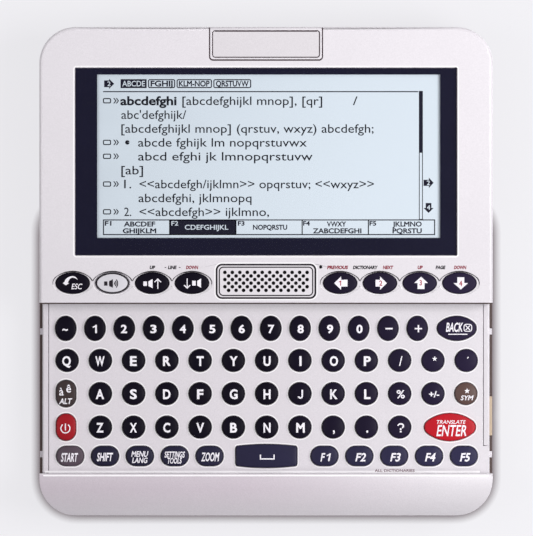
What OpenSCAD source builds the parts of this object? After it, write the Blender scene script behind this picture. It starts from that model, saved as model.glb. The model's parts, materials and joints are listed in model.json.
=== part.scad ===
// Slide-open pocket translator, millimetres.
// X runs to the right, Y from the front chin to the top of the screen half, Z up out of the screen.
// Origin: under the middle of the open device, on the surface that it lies on.

/* [Overall] */
// How far the screen half slides
screen_travel = 47.2; // [45:0.2:49]
// Length of the raised front chin
chin_len = 11.8; // [11.8:0.1:14]
// Radius of the outer corners
corner_r = 10.2; // [8:0.1:11]
// Gap between the closed screen half and the chin
seam_gap = 0.3; // [0.2:0.05:0.6]

/* [Base case] */
// Height of the rubber feet below the case
foot_h = 0.6; // [0.4:0.1:1]
// Diameter of a rubber foot
foot_d = 8; // [6:0.5:9]
// Height of the lower case from its underside to the ledge
lower_h = 6.4; // [6.2:0.1:8]
// Height of the deck above the ledge
deck_h = 4.6; // [4.4:0.1:5.6]
// Thickness of the case floors
floor_t = 1.2; // [1:0.1:1.4]
// Thickness of the case side walls
wall_t = 1.6; // [1.4:0.1:1.7]
// Thickness of the key deck
deck_t = 1.4; // [1.2:0.1:1.5]
// Width of the open strip beside the deck
strip_w = 0.8; // [0.7:0.05:1]
// Thickness of the walls under the deck's edges
side_wall = 2.4; // [2.2:0.1:2.6]
// Radius that the chin falls away with
chin_fall_r = 15; // [14.2:0.2:20]
// Thickness of the chin's rear wall
chin_back = 1.4; // [1:0.1:1.8]
// Rounding of the outer case edges
edge_r = 0.9; // [0.4:0.1:1.1]

/* [Slide] */
// Width of a rail's running face
rail_w = 1.8; // [1.6:0.05:2]
// Height of a rail's bar
rail_h = 1.8; // [1.6:0.05:2]
// Thickness of a rail's leg
leg_w = 0.6; // [0.5:0.05:0.7]
// Depth of a rail's leg below its bar
leg_h = 2; // [1.4:0.1:2.2]
// Height of the groove under a rail
groove_h = 0.9; // [0.85:0.05:1]
// Thickness of the steel channel
steel_t = 0.6; // [0.5:0.02:0.64]
// Running clearance of the slide
slide_gap = 0.15; // [0.1:0.01:0.18]
// Length of the stop blocks at the far end of the rails
stop_len = 2.4; // [2:0.1:3.2]
// Distance of the right rail's front end from the chin
rail_setback = 7.7; // [6:0.1:10]
// Gap between the key tops and the screen half above them
sweep_gap = 0.3; // [0.2:0.05:0.6]

/* [Keys] */
// Height of the key tops above the deck
cap_proud = 1.3; // [1:0.05:1.6]
// How far a key travels
key_travel = 0.7; // [0.5:0.05:0.8]
// Gap around a key in its hole
key_gap = 0.12; // [0.08:0.01:0.2]
// Width of the flange round a key
flange_w = 0.4; // [0.3:0.05:0.5]
// Thickness of that flange
flange_t = 0.5; // [0.4:0.05:0.6]
// Rise of a key's domed top
crown = 0.4; // [0.2:0.05:0.5]
// Diameter of a letter key
letter_d = 6.2; // [5.6:0.1:6.6]
// Pitch of the letter keys
letter_pitch = 9.33; // [9:0.01:10.5]
// Distance of the outer letter keys' centres from the sides
letter_side = 7.52; // [7.4:0.01:9]
// Width of a number key
number_w = 5.7; // [5.2:0.1:6]
// Length of a number key
number_l = 6.8; // [6.2:0.1:7.2]
// Pitch of the number keys
number_pitch = 8.22; // [8:0.01:9]
// Distance of the first number key's centre from the side
number_side = 7.3; // [7.2:0.05:9]
// Step from the last number key to the back key
back_step = 11.06; // [10.6:0.02:12]
// Width of a bottom-row key
small_w = 7.6; // [7:0.1:8]
// Length of a bottom-row key
small_l = 5.5; // [5:0.1:6]
// Pitch of the bottom-row keys
bottom_pitch = 9.78; // [9.6:0.01:10.4]
// Distance of the outer bottom-row keys' centres from the sides
bottom_side = 8.55; // [8:0.05:10]
// Width of the alt and power keys
tall_w = 5.4; // [5:0.1:5.6]
// Length of the alt and power keys
tall_l = 7.5; // [7:0.1:7.8]
// Width of the back key
back_w = 10.9; // [10:0.1:11.2]
// Length of the back key
back_l = 6.8; // [6.2:0.1:7.2]
// Width of the enter key
enter_w = 14.3; // [13:0.1:14.6]
// Length of the enter key
enter_l = 7.7; // [7:0.1:8]
// Width of the space key
space_w = 17.1; // [16:0.1:18]
// Length of the space key at its middle
space_l = 6.5; // [6:0.1:7]
// Length of the space key at its ends
space_end = 5.4; // [5:0.1:5.8]
// Bottom row's distance from the chin
bottom_row = 4.85; // [4.6:0.05:5.2]
// Step from the bottom row to the low letter row
low_step = 8.1; // [7.9:0.05:8.6]
// Step from the low to the home letter row
home_step = 9.4; // [9.1:0.05:9.8]
// Step from the home to the top letter row
top_step = 9.3; // [8.9:0.05:9.6]
// Step from the top letter row to the number row
number_step = 9; // [8.6:0.05:9.4]

/* [Screen half] */
// Height of the screen half's rear cover
rear_h = 2.3; // [2.2:0.1:2.6]
// Height of the screen half's front cover
front_h = 4; // [4:0.1:4.6]
// Thickness of the front cover's face
face_t = 1.6; // [1.5:0.05:1.7]
// How far the rear cover shows below the front cover
dark_edge = 0.35; // [0.1:0.05:0.6]
// Width of the face beside the window
face_side = 9.95; // [9:0.05:12]
// Width of the dark border at the display's sides
border_side = 5.5; // [5:0.1:7]
// Width of the dark border at the display's ends
border_end = 3.45; // [3:0.05:5]
// Distance of the window from the screen half's top edge
window_high = 11.35; // [10.8:0.05:13]
// Distance of the window from the screen half's front edge
window_low = 13.55; // [13.2:0.05:14]
// Thickness of the window
window_t = 0.8; // [0.6:0.05:0.82]
// Width of the display's visible area
view_w = 96.1; // [88:0.1:106]
// Length of the display's visible area
view_l = 45.8; // [42:0.1:50]
// Offset of the visible area from the window's middle
view_dx = 0.75; // [0:0.05:1]
// Offset of the visible area along the window
view_dy = 1.5; // [1:0.05:1.6]
// Width of a function key
function_w = 9.45; // [9:0.05:9.7]
// Length of a function key
function_l = 5.85; // [5.4:0.05:6]
// Gap between two function keys
function_gap = 1.69; // [1.4:0.01:2.2]
// Distance of the outer function keys' centres from the sides
function_side = 9.33; // [9:0.01:11]
// Distance of the innermost function keys from the centre line
function_x = 20.75; // [20.5:0.05:20.8]
// Distance of the function keys from the front edge
function_low = 5.85; // [5.7:0.05:6]
// Height of the function keys above the face
function_proud = 0.6; // [0.3:0.05:0.9]
// Width that the dish shows at each end of a function key
dish_side = 0.925; // [0.875:0.005:1]
// Length of the dish round a function key
dish_l = 6.85; // [6.4:0.05:7]
// Depth of the dishes
dish_depth = 0.25; // [0.15:0.05:0.35]
// Width of the speaker grille
grille_w = 28; // [26.6:0.1:28.4]
// Length of the speaker grille
grille_l = 9.7; // [9:0.1:9.9]
// Diameter of a grille hole
grille_hole_d = 0.9; // [0.6:0.05:1]
// Pitch of the grille holes
grille_pitch = 2.09; // [2:0.01:2.1]
// Distance between rows of grille holes
grille_row = 1; // [0.98:0.01:1.04]
// Width of the bare badge plate
badge_w = 30; // [26:0.1:30.2]
// Length of the bare badge plate
badge_l = 7.5; // [6.6:0.1:7.6]
// Width of the tab outline round the badge
tab_w = 31.8; // [31.4:0.1:33]
// Length of the tab outline round the badge
tab_l = 9.35; // [9:0.05:9.6]

/* [Power and socket] */
// Diameter of a battery cell
cell_d = 10.5; // [10:0.1:10.5]
// Length of a battery cell
cell_len = 44.5; // [43.5:0.1:44.5]
// Length that the battery spring fills
spring_len = 5.2; // [4.6:0.1:5.4]
// Bore of the earphone socket
jack_bore_d = 3.6; // [3.5:0.05:3.7]
// Depth of the earphone socket behind its bezel
jack_depth = 12.8; // [12:0.1:13.2]
// Distance of the socket from the chin
jack_low = 16.05; // [14:0.05:20]
// Length of the socket's bezel along the side
bezel_len = 11; // [9:0.1:12]

/* [Fasteners] */
// Diameter of a case screw
screw_d = 1.9; // [1.6:0.1:2]
// Diameter of a case screw's head
screw_head_d = 3.8; // [3.4:0.1:4]

/* [Hidden] */
$fn = 64;
eps = 0.5;

// Battery bay in the chin
cell_slack = 0.1;
bay_skin = 1.2;
cell_nub_r = 1.9;
cell_nub_h = 0.8;
cell_gap = 0.02;
contact_t = 0.4;
pin_len = 2;
bay_x = (2*cell_len + spring_len + pin_len + 2*contact_t)/2 + cell_slack;
cells_x = bay_x - contact_t - pin_len - 2*cell_len - cell_slack;
bay_wall = 1;
boss_d = 4.8;
chin_screw_in = 9.5;

// Widths: both halves are as wide as the widest of what they hold
function_pitch = function_w + function_gap;
window_w = view_w + 2*border_side;
window_l = view_l + 2*border_end;
screen_len = window_low + window_l + window_high;
number_shift = 1.35;
bottom_mid = 15.83;
body_w = max(window_w + 2*face_side,
             12*letter_pitch + 2*letter_side,
             12*number_pitch + back_step + 2*(number_side + number_shift),
             2*(bottom_mid + 4*bottom_pitch + bottom_side),
             2*(function_x + 3*function_pitch + function_side),
             2*(bay_x + bay_wall + boss_d/2 + 0.4 + chin_screw_in));

// Lengths along Y
base_len = chin_len + seam_gap + screen_len;
open_len = base_len + screen_travel;
y_front = -open_len/2;
y_seam = y_front + chin_len;
y_back = y_front + base_len;
y_screen = y_seam + seam_gap + screen_travel;
y_top = y_screen + screen_len;
y_stop = y_back - stop_len;
channel_len = y_stop - y_screen - slide_gap;

// Heights
z_case = foot_h;
z_inside = z_case + floor_t;
z_ledge = z_case + lower_h;
z_deck = z_ledge + deck_h;
z_under = z_deck + cap_proud + sweep_gap;
z_split = z_under + rear_h;
z_face = z_split + front_h;
z_rear_inside = z_under + floor_t;
z_face_inside = z_face - face_t;

// Half widths of the deck, its inner walls and the rail parts
deck_x = body_w/2 - strip_w;
deck_inner_x = deck_x - side_wall;
rail_x = deck_x - rail_w;
leg_x = rail_x + leg_w;
z_rail = z_deck - rail_h;
z_groove = z_rail - groove_h;
rail_line = 0.15;
rail_chamfer = 0.35;

// Key rows
y_bottom = y_seam + bottom_row;
y_low = y_bottom + low_step;
y_home = y_low + home_step;
y_letters = y_home + top_step;
y_number = y_letters + number_step;
number_x = -(12*number_pitch + back_step)/2 - number_shift;
letter_x = 0.18 - 6*letter_pitch;
home_x = letter_x + letter_pitch;
left_x = -bottom_mid - 4*bottom_pitch;
right_x = bottom_mid + 0.57;
tall_x = letter_x - 0.3;
symbol_x = letter_x + 12*letter_pitch - 0.11;
back_x = number_x + 12*number_pitch + back_step;
enter_x = symbol_x - 4.45;
space_x = 0.1;

// Every key is [x, y, width, length, shape]
number_row = [for (i = [0:12]) [number_x + i*number_pitch, y_number, number_w, number_l, "oval"]];
letter_row = [for (i = [0:12]) [letter_x + i*letter_pitch, y_letters, letter_d, letter_d, "round"]];
home_row = [for (i = [0:10]) [home_x + i*letter_pitch, y_home, letter_d, letter_d, "round"]];
low_row = [for (i = [0:9]) [home_x + i*letter_pitch, y_low, letter_d, letter_d, "round"]];
left_row = [for (i = [0:4]) [left_x + i*bottom_pitch, y_bottom, small_w, small_l, "stadium"]];
right_row = [for (i = [0:4]) [right_x + i*bottom_pitch, y_bottom, small_w, small_l, "stadium"]];
alt_spot = [tall_x, y_home, tall_w, tall_l, "stadium"];
power_spot = [tall_x, y_low, tall_w, tall_l, "stadium"];
symbol_spot = [symbol_x, y_home, letter_d, letter_d, "round"];
back_spot = [back_x, y_number, back_w, back_l, "oval"];
enter_spot = [enter_x, y_low, enter_w, enter_l, "oval"];
space_spot = [space_x, y_bottom, space_w, space_l, "barrel"];

// Keys of the base by node name. A row's ordinary keys share two nodes.
base_keys = [
  ["number_keys_left", [for (i = [0:6]) number_row[i]]],
  ["number_keys_right", [for (i = [7:12]) number_row[i]]],
  ["letter_keys_left", [for (i = [0:5]) letter_row[i]]],
  ["letter_keys_right", [for (i = [6:12]) letter_row[i]]],
  ["home_keys_left", [for (i = [0:4]) home_row[i]]],
  ["home_keys_right", [for (i = [5:10]) home_row[i]]],
  ["low_keys_left", [for (i = [0:4]) low_row[i]]],
  ["low_keys_right", [for (i = [5:9]) low_row[i]]],
  ["back_key", [back_spot]],
  ["alt_key", [alt_spot]],
  ["symbol_key", [symbol_spot]],
  ["power_key", [power_spot]],
  ["enter_key", [enter_spot]],
  ["start_key", [left_row[0]]],
  ["shift_key", [left_row[1]]],
  ["menu_key", [left_row[2]]],
  ["settings_key", [left_row[3]]],
  ["zoom_key", [left_row[4]]],
  ["space_key", [space_spot]],
  ["f1_key", [right_row[0]]],
  ["f2_key", [right_row[1]]],
  ["f3_key", [right_row[2]]],
  ["f4_key", [right_row[3]]],
  ["f5_key", [right_row[4]]],
];

// Keys of the screen half
y_function = y_screen + function_low;
function_xs = [for (s = [-1, 1], i = [0:3]) s*function_x + (s < 0 ? i - 3 : i)*function_pitch];
function_names = ["escape_key", "speak_key", "volume_up_key", "volume_down_key",
                  "previous_key", "next_key", "page_up_key", "page_down_key"];
screen_keys = [for (i = [0:7])
  [function_names[i], [[function_xs[i], y_function, function_w, function_l, "ellipse"]]]];

base_key_spots = [for (entry = base_keys) each entry[1]];
screen_key_spots = [for (entry = screen_keys) each entry[1]];

// Places of the cells
cell_y = y_front + bay_skin + cell_slack + cell_d/2;
cell_z = z_inside + 0.2 + cell_d/2;
y_bay_back = cell_y + cell_d/2 + 0.35;

// Key stack
flange_gap = 0.1;
z_flange = z_deck - deck_t - flange_gap - flange_t;
z_screen_flange = z_face_inside - flange_gap - flange_t;
board_t = 1;
sheet_t = 0.4;
dome_rest = 0.6;
z_mat = z_flange - key_travel - dome_rest - sheet_t;
z_board = z_mat - board_t;
dome_r = 2.3;
dome_tip_r = 1.2;
board_x = deck_inner_x - 0.4;
y_board_front = y_bay_back + 0.4;
y_board_back = y_screen + 18.6;

// Battery door
door_gap = 0.15;
door_x = bay_x - 2;
y_door = y_bay_back - 0.2;
tab_reach = 1.3;
tab_t = 0.6;
tab_y = y_door - 2.25;
tab_len = 3.5;
z_lip = z_inside + 1.1;
lip_x = door_x + tab_reach + 0.3;

// Earphone socket
jack_y = y_seam + jack_low;
jack_w = 7;
jack_h = 5;
jack_z = z_inside + 0.05 + jack_h/2;
bezel_t = 1.4;
jack_x = body_w/2 - bezel_t;
bezel_fit = 0.1;
bezel_z = z_case + 0.8;

// Snap tabs of the upper case that show in the strip, measured from the chin
snap_w = 1.8;
snap_t = 1.6;
snap_ys = [y_seam + 5.3, y_seam + 39.75];
snap_clear = 0.1;

// Middles of the window and of the display's visible area
window_y = y_screen + window_low + window_l/2;
view_x = view_dx;
view_y = window_y + view_dy;

// Screws
head_h = 1;
head_clear = 0.3;
screw_hole_d = screw_d + 0.3;
case_screw_in = 7.5;
case_screw_mid = 26;
case_screw_back = 6.75;
chin_screw_up = 7.45;
case_screw_spots = [for (s = [-1, 1]) each [
  [s*(body_w/2 - case_screw_in), y_back - case_screw_back],
  [s*case_screw_mid, y_back - case_screw_back],
  [s*(body_w/2 - chin_screw_in), y_front + chin_screw_up]]];
case_screw_top = z_ledge + 2.4;
screen_screw_in = 6;
screen_screw_spots = [for (s = [-1, 1], y = [y_screen + window_low + 1.6, view_y - 2.25, y_top - screen_screw_in])
  [s*(body_w/2 - screen_screw_in), y]];
screen_screw_top = z_face_inside + 0.4;
foot_x_back = 41;
foot_in_back = 8.25;
foot_x_front = 50;
foot_in_front = 7.65;
case_feet = [for (s = [-1, 1]) each [[s*foot_x_back, y_back - foot_in_back], [s*foot_x_front, y_seam + foot_in_front]]];
foot_pocket = 0.4;

// Display stack
z_screen_board = z_rear_inside + 0.4;
z_screen_mat = z_screen_board + board_t;
window_drop = 0.05;
window_seat = 0.05;
pocket_depth = window_t + window_drop + window_seat;
glass_t = 1.2;
z_glass = z_face_inside - glass_t;
glass_margin = 2.9;
frame_margin = 4.5;
view_margin = 0.8;

// Speaker, grille and badge
grille_pocket = 0.7;
grille_gap = 0.1;
grille_plate_t = 0.65;
grille_line_in = 0.7;
line_w = 0.22;
line_depth = 0.2;
speaker_w = 27;
speaker_l = 8.4;
speaker_y = y_function + 0.5;
mic_x = 15.3;
mic_y = y_screen + 10.35;
mic_d = 3.2;
mic_hole_d = 0.85;
badge_y = y_top - 4.75;
badge_t = 0.3;
badge_pocket = 0.4;

// Flat cable between the halves
cable_w = 16;
cable_t = 0.2;
cable_slot = 1.2;
cable_y = y_back - 3.25;
cable_loop = cable_y - 3.3;
cable_end = cable_loop + screen_travel/2 - 0.9;
z_cable_low = z_deck + 0.15;
z_cable_high = z_under - 0.02;
cable_bend_r = (z_cable_high - z_cable_low)/2;

key_node_names = [for (entry = concat(base_keys, screen_keys)) entry[0]];

// ---------- plane shapes ----------

// Rectangle with four equal round corners, centred
module rounded(w, l, r) {
  square([w - 2*r, l], center = true);
  square([w, l - 2*r], center = true);
  for (sx = [-1, 1], sy = [-1, 1])
    translate([sx*(w/2 - r), sy*(l/2 - r)]) circle(r);
}

// Oval of four tangent arcs
module oval(rx, ry) {
  a = max(rx, ry);
  b = min(rx, ry);
  end_r = b*b/a*1.05;
  side_r = ((a - end_r)*(a - end_r) + b*b - end_r*end_r)/(2*(b - end_r));
  join_x = (a - end_r)*(1 + end_r/(side_r - end_r));
  rotate(rx >= ry ? 0 : 90) {
    intersection() {
      square([2*join_x, 4*b], center = true);
      translate([0, side_r - b]) circle(side_r);
      translate([0, b - side_r]) circle(side_r);
    }
    for (s = [-1, 1]) translate([s*(a - end_r), 0]) circle(end_r);
  }
}

module ellipse(rx, ry, points) {
  polygon([for (i = [0:points - 1]) [rx*cos(360*i/points), ry*sin(360*i/points)]]);
}

// Straight ends and bowed sides, as on the space key
module barrel(w, l, l_end, grow) {
  sag = (l - l_end)/2;
  bow_r = (w*w/4 + sag*sag)/(2*sag);
  intersection() {
    rounded(w + 2*grow, l + 2*grow, 1.4);
    translate([0, l/2 - bow_r]) circle(bow_r + grow, $fn = 360);
    translate([0, bow_r - l/2]) circle(bow_r + grow, $fn = 360);
  }
}

// Outline of a key, grown all round
module key_outline(key, grow) {
  w = key[2];
  l = key[3];
  shape = key[4];
  if (shape == "round") circle(w/2 + grow);
  if (shape == "oval") oval(w/2 + grow, l/2 + grow);
  if (shape == "ellipse") ellipse(w/2 + grow, l/2 + grow, 40);
  if (shape == "stadium") rounded(w + 2*grow, l + 2*grow, min(w, l)/2 + grow - 0.01);
  if (shape == "barrel") barrel(w, l, space_end, grow);
}

// Waste outside one rounded corner, for the corner at +X +Y of the origin
module corner_waste(r) {
  difference() {
    translate([-r, -r]) square(r + eps);
    translate([-r, -r]) circle(r);
  }
}

// Case outline between two heights of Y, with its own corner radius at each end
module panel(half_w, y0, y1, r0, r1) {
  difference() {
    translate([-half_w, y0]) square([2*half_w, y1 - y0]);
    for (s = [0, 1]) mirror([s, 0]) {
      if (r1 > 0) translate([half_w, y1]) corner_waste(r1);
      if (r0 > 0) translate([half_w, y0]) mirror([0, 1]) corner_waste(r0);
    }
  }
}

// ---------- solid helpers ----------

module slab(z0, z1) {
  translate([0, 0, z0]) linear_extrude(z1 - z0) children();
}

module block(x0, x1, y0, y1, z0, z1) {
  translate([x0, y0, z0]) cube([x1 - x0, y1 - y0, z1 - z0]);
}

module post(spot, d, z0, z1) {
  translate([spot[0], spot[1], z0]) cylinder(d = d, h = z1 - z0);
}

module both_sides() {
  for (s = [0, 1]) mirror([s, 0, 0]) children();
}

// Rounds the top edge of a panel, sides and far end, by cutting the waste away
module top_edge_waste(half_w, y0, y1, r_corner, z, r) {
  both_sides() {
    translate([half_w, y1 - r_corner, z]) rotate([90, 0, 0])
      linear_extrude(y1 - r_corner - y0 + eps) corner_waste(r);
    translate([half_w - r_corner, y1 - r_corner, z]) rotate_extrude(angle = 90)
      translate([r_corner, 0]) corner_waste(r);
  }
  translate([r_corner - half_w, y1, z]) rotate([90, 0, 90])
    linear_extrude(2*(half_w - r_corner)) corner_waste(r);
}

// One key: cap through the plate, flange below it
module key_solid(key, z_plate, plate_t, proud, z_low) {
  z_top = z_plate + proud;
  half = max(key[2], key[3])/2;
  ball_r = (half*half + crown*crown)/(2*crown);
  translate([key[0], key[1], 0]) {
    intersection() {
      slab(z_low + flange_t/2, z_top) key_outline(key, 0);
      translate([0, 0, z_top - ball_r]) sphere(ball_r, $fn = 180);
    }
    slab(z_low, z_low + flange_t) key_outline(key, flange_w);
  }
}

module dome(key, z0, z1) {
  translate([key[0], key[1], z0]) cylinder(r1 = dome_r, r2 = dome_tip_r, h = z1 - z0);
}

module screw(spot, z_head, z_tip) {
  slot_w = 0.5;
  difference() {
    union() {
      post(spot, screw_head_d, z_head, z_head + head_h);
      post(spot, screw_d, z_head + head_h/2, z_tip);
    }
    for (turn = [0, 90]) translate([spot[0], spot[1], z_head]) rotate(turn)
      cube([screw_head_d*0.6, slot_w, head_h], center = true);
  }
}

module cell_room(grow) {
  translate([-bay_x, cell_y, cell_z]) rotate([0, 90, 0]) cylinder(d = cell_d + 2*grow, h = 2*bay_x);
}

// ---------- base half ----------

// Outer form of the lower case, its underside edge rounded
module tray_form() {
  difference() {
    slab(z_case, z_ledge) panel(body_w/2, y_front, y_back, corner_r, corner_r);
    translate([0, 0, z_case]) mirror([0, 0, 1]) {
      y_mid = (y_front + y_back)/2;
      top_edge_waste(body_w/2, y_mid, y_back, corner_r, 0, edge_r);
      translate([0, 2*y_mid, 0]) mirror([0, 1, 0])
        top_edge_waste(body_w/2, y_mid, y_back, corner_r, 0, edge_r);
    }
  }
}

module lower_case() color("#45352f") {
  inner_r = corner_r - wall_t;
  label = [60, 22, 0.3];
  post_d = 4;
  post_x = board_x - 2.5*post_d;
  post_y = y_screen - 1.8;
  post_spots = [[-post_x, post_y], [0, post_y], [post_x, post_y], [-post_x + post_d, y_low], [post_x/2, y_low]];
  difference() {
    union() {
      difference() {
        tray_form();
        slab(z_inside, z_ledge + eps)
          panel(body_w/2 - wall_t, y_front + wall_t, y_back - wall_t, inner_r, inner_r);
      }
      both_sides() block(bay_x, bay_x + bay_wall, y_front + wall_t/2, y_bay_back + bay_wall, z_inside, z_ledge);
      block(-bay_x - bay_wall, bay_x + bay_wall, y_bay_back, y_bay_back + bay_wall, z_inside, z_board - 0.1);
      for (spot = case_screw_spots) post(spot, boss_d + 0.8, z_inside, z_ledge);
      for (spot = post_spots) post(spot, post_d, z_inside, z_board);
    }
    cell_room(cell_slack);
    block(-door_x - door_gap, door_x + door_gap, y_front - eps, y_door + door_gap, 0, z_inside + 0.01);
    block(-lip_x - door_gap, lip_x + door_gap, y_front - eps, y_front + wall_t + 0.1,
          z_inside, z_lip + door_gap);
    for (spot = case_screw_spots) {
      post(spot, screw_head_d + 2*head_clear, 0, z_case + 0.2 + head_h);
      post(spot, screw_hole_d, z_case, z_ledge + eps);
    }
    for (spot = case_feet) post(spot, foot_d, 0, z_case + foot_pocket);
    translate([0, (y_seam + y_back)/2, 0]) slab(0, z_case + label[2]) rounded(label[0], label[1], 1);
    block(jack_x - eps, body_w, jack_y - bezel_len/2 - bezel_fit, jack_y + bezel_len/2 + bezel_fit,
          bezel_z - bezel_fit, z_ledge + eps);
    both_sides() for (y = snap_ys)
      block(body_w/2 - wall_t - eps, body_w, y - snap_w/2 - snap_clear, y + snap_w/2 + snap_clear,
            z_ledge - snap_t - snap_clear, z_ledge + eps);
  }
}

// Chin form, drawn in by a wall's thickness where it is used as the hollow
module chin_form(inset, y_rear) {
  intersection() {
    slab(z_ledge - eps, z_face) panel(body_w/2 - inset, y_front + inset, y_rear, corner_r - inset, 0);
    translate([-body_w/2, y_seam, z_face - chin_fall_r]) rotate([0, 90, 0])
      cylinder(r = chin_fall_r - inset, h = body_w, $fn = 128);
  }
}

module upper_case() color("#dcd8da") {
  difference() {
    union() {
      difference() {
        union() {
          slab(z_ledge, z_deck) panel(deck_x, y_seam - chin_back/2, y_back, 0, corner_r - strip_w);
          intersection() {
            chin_form(0, y_seam);
            block(-body_w, body_w, y_front - 1, y_seam + 1, z_ledge, z_face + 1);
          }
        }
        slab(z_ledge - eps, z_deck - deck_t)
          panel(deck_inner_x, y_seam - chin_back - eps, y_back - wall_t, 0, corner_r - strip_w - wall_t);
        chin_form(wall_t, y_seam - chin_back);
      }
      for (spot = case_screw_spots) post(spot, boss_d, z_ledge, z_deck - deck_t/2);
      intersection() {
        chin_form(wall_t/2, y_seam - chin_back);
        for (spot = case_screw_spots) post(spot, boss_d, z_ledge, z_face);
      }
      both_sides() for (y = snap_ys) {
        block(body_w/2 - wall_t, body_w/2 - 0.05, y - snap_w/2, y + snap_w/2, z_ledge - snap_t, z_ledge);
        block(body_w/2 - wall_t, deck_x - 0.2, y - snap_w/2, y + snap_w/2, z_ledge - snap_t, z_ledge + eps);
      }
    }
    cell_room(cell_slack);
    for (key = base_key_spots) translate([key[0], key[1], 0])
      slab(z_deck - deck_t - eps, z_deck + eps) key_outline(key, key_gap);
    for (spot = case_screw_spots) post(spot, screw_d, z_ledge - eps, case_screw_top);
    block(-cable_w/2 - 1, cable_w/2 + 1, cable_y - cable_slot/2, cable_y + cable_slot/2,
          z_deck - deck_t - eps, z_deck + eps);
    for (s = [0, 1]) mirror([s, 0, 0]) {
      rail_y = s == 0 ? y_seam + rail_setback : y_seam;
      block(rail_x, deck_x + 1, rail_y, y_stop, z_rail, z_deck + 1);
      block(rail_x, leg_x, rail_y, y_stop, z_rail - leg_h, z_rail + eps);
      block(leg_x, deck_x + 1, y_seam, y_stop, z_groove, z_rail);
    }
  }
}

// A rail: bar on top, leg that stands in the case's slot
module rail(y0) {
  translate([0, y_stop, 0]) rotate([90, 0, 0]) linear_extrude(y_stop - y0) polygon([
    [rail_x + rail_line, z_deck], [rail_x + rail_line, z_rail], [rail_x, z_rail],
    [rail_x, z_rail - leg_h], [leg_x, z_rail - leg_h], [leg_x, z_rail],
    [deck_x, z_rail], [deck_x, z_deck - rail_chamfer], [deck_x - rail_chamfer, z_deck]]);
}

module left_rail() color("#d5d2d4") mirror([1, 0, 0]) rail(y_seam + rail_line);

module right_rail() color("#d5d2d4") rail(y_seam + rail_setback + rail_line);

module keyboard_board() color("#2f6b45")
  block(-board_x, board_x, y_board_front, y_board_back, z_board, z_mat);

// Chips and cans under the keyboard board: [x, y, width, length, height]
module board_chips() color("#2b2b2e") {
  chip_w = 14;
  chip_t = 1.5;
  can_d = 5;
  can_h = 3.6;
  chips = [[-board_x/3, y_home, chip_w, chip_w, chip_t], [board_x/9, y_home, chip_w/2, chip_w*1.3, chip_t],
           [board_x/3, y_home, chip_w/2, chip_w/2, chip_t], [-board_x/3, y_board_back - chip_w/3, chip_w, chip_w/3, chip_t]];
  for (chip = chips)
    translate([chip[0], chip[1], 0]) slab(z_board - chip[4], z_board) square([chip[2], chip[3]], center = true);
  for (i = [0, 1]) post([(i*1.7 - 9)*can_d, y_number], can_d, z_board - can_h, z_board);
}

module keyboard_mat() color("#8a8a90") {
  block(-board_x, board_x, y_board_front, y_number + 4.5, z_mat, z_mat + sheet_t);
  for (key = base_key_spots) dome(key, z_mat + sheet_t/2, z_flange);
}

module battery_cells() color("#3c6fb0") {
  for (i = [0, 1]) translate([cells_x + i*cell_len, cell_y, cell_z]) rotate([0, 90, 0]) {
    cylinder(d = cell_d, h = cell_len - cell_nub_h);
    cylinder(r = cell_nub_r, h = cell_len - cell_gap);
  }
}

// Conical contact spring, a round wire along a helix
module battery_spring() {
  turns = 4;
  wire_r = 0.3;
  sides = 8;
  steps = turns*16;
  base_r = 3.2;
  tip_r = 1.8;
  x0 = -bay_x + contact_t + wire_r/2;
  x1 = cells_x - wire_r - cell_gap;
  points = [for (i = [0:steps], j = [0:sides - 1])
    let (t = i/steps, a = 360*turns*t, r = base_r + (tip_r - base_r)*t + wire_r*cos(360*j/sides))
    [x0 + (x1 - x0)*t + wire_r*sin(360*j/sides), cell_y + r*cos(a), cell_z + r*sin(a)]];
  sides_faces = [for (i = [0:steps - 1], j = [0:sides - 1])
    let (k = (j + 1)%sides, a = i*sides, b = (i + 1)*sides) [a + k, b + k, b + j, a + j]];
  caps = [[for (j = [sides - 1:-1:0]) j], [for (j = [0:sides - 1]) steps*sides + j]];
  polyhedron(points, concat(sides_faces, caps));
}

module battery_contacts() color("#c9c9cc") {
  plate_w = 8;
  plate_low = z_inside + 1.5;
  battery_spring();
  both_sides() block(bay_x - contact_t, bay_x, cell_y - plate_w/2, cell_y + plate_w/2, plate_low, z_ledge + 3);
  translate([cells_x + 2*cell_len, cell_y, cell_z]) rotate([0, 90, 0])
    cylinder(r = cell_nub_r, h = bay_x - contact_t/2 - cells_x - 2*cell_len);
}

module battery_door() color("#45352f") {
  grooves = 5;
  groove_pitch = 1.7;
  difference() {
    intersection() {
      tray_form();
      union() {
        block(-door_x, door_x, y_front - 1, y_door, 0, z_inside);
        block(-lip_x, lip_x, y_front - 1, y_front + wall_t, z_inside - 0.01, z_lip);
        both_sides() {
          block(door_x - 1, door_x, tab_y - tab_len/2, tab_y + tab_len/2, z_inside - eps, z_inside + 0.1 + tab_t);
          block(door_x - 1, door_x + tab_reach, tab_y - tab_len/2, tab_y + tab_len/2,
                z_inside + 0.1, z_inside + 0.1 + tab_t);
        }
      }
    }
    block(-lip_x - 1, -door_x, y_front - 1, y_door, 0, z_inside + 0.1);
    block(door_x, lip_x + 1, y_front - 1, y_door, 0, z_inside + 0.1);
    for (i = [0:grooves - 1])
      block(-11, 11, y_front + 2.4 + i*groove_pitch, y_front + 3.1 + i*groove_pitch, 0, z_case + 0.35);
  }
}

module jack_socket() color("#26262a") {
  difference() {
    block(jack_x - jack_depth - 0.8, jack_x, jack_y - jack_w/2, jack_y + jack_w/2,
          jack_z - jack_h/2, jack_z + jack_h/2);
    translate([jack_x - jack_depth, jack_y, jack_z]) rotate([0, 90, 0])
      cylinder(d = jack_bore_d, h = jack_depth + eps);
  }
}

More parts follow.
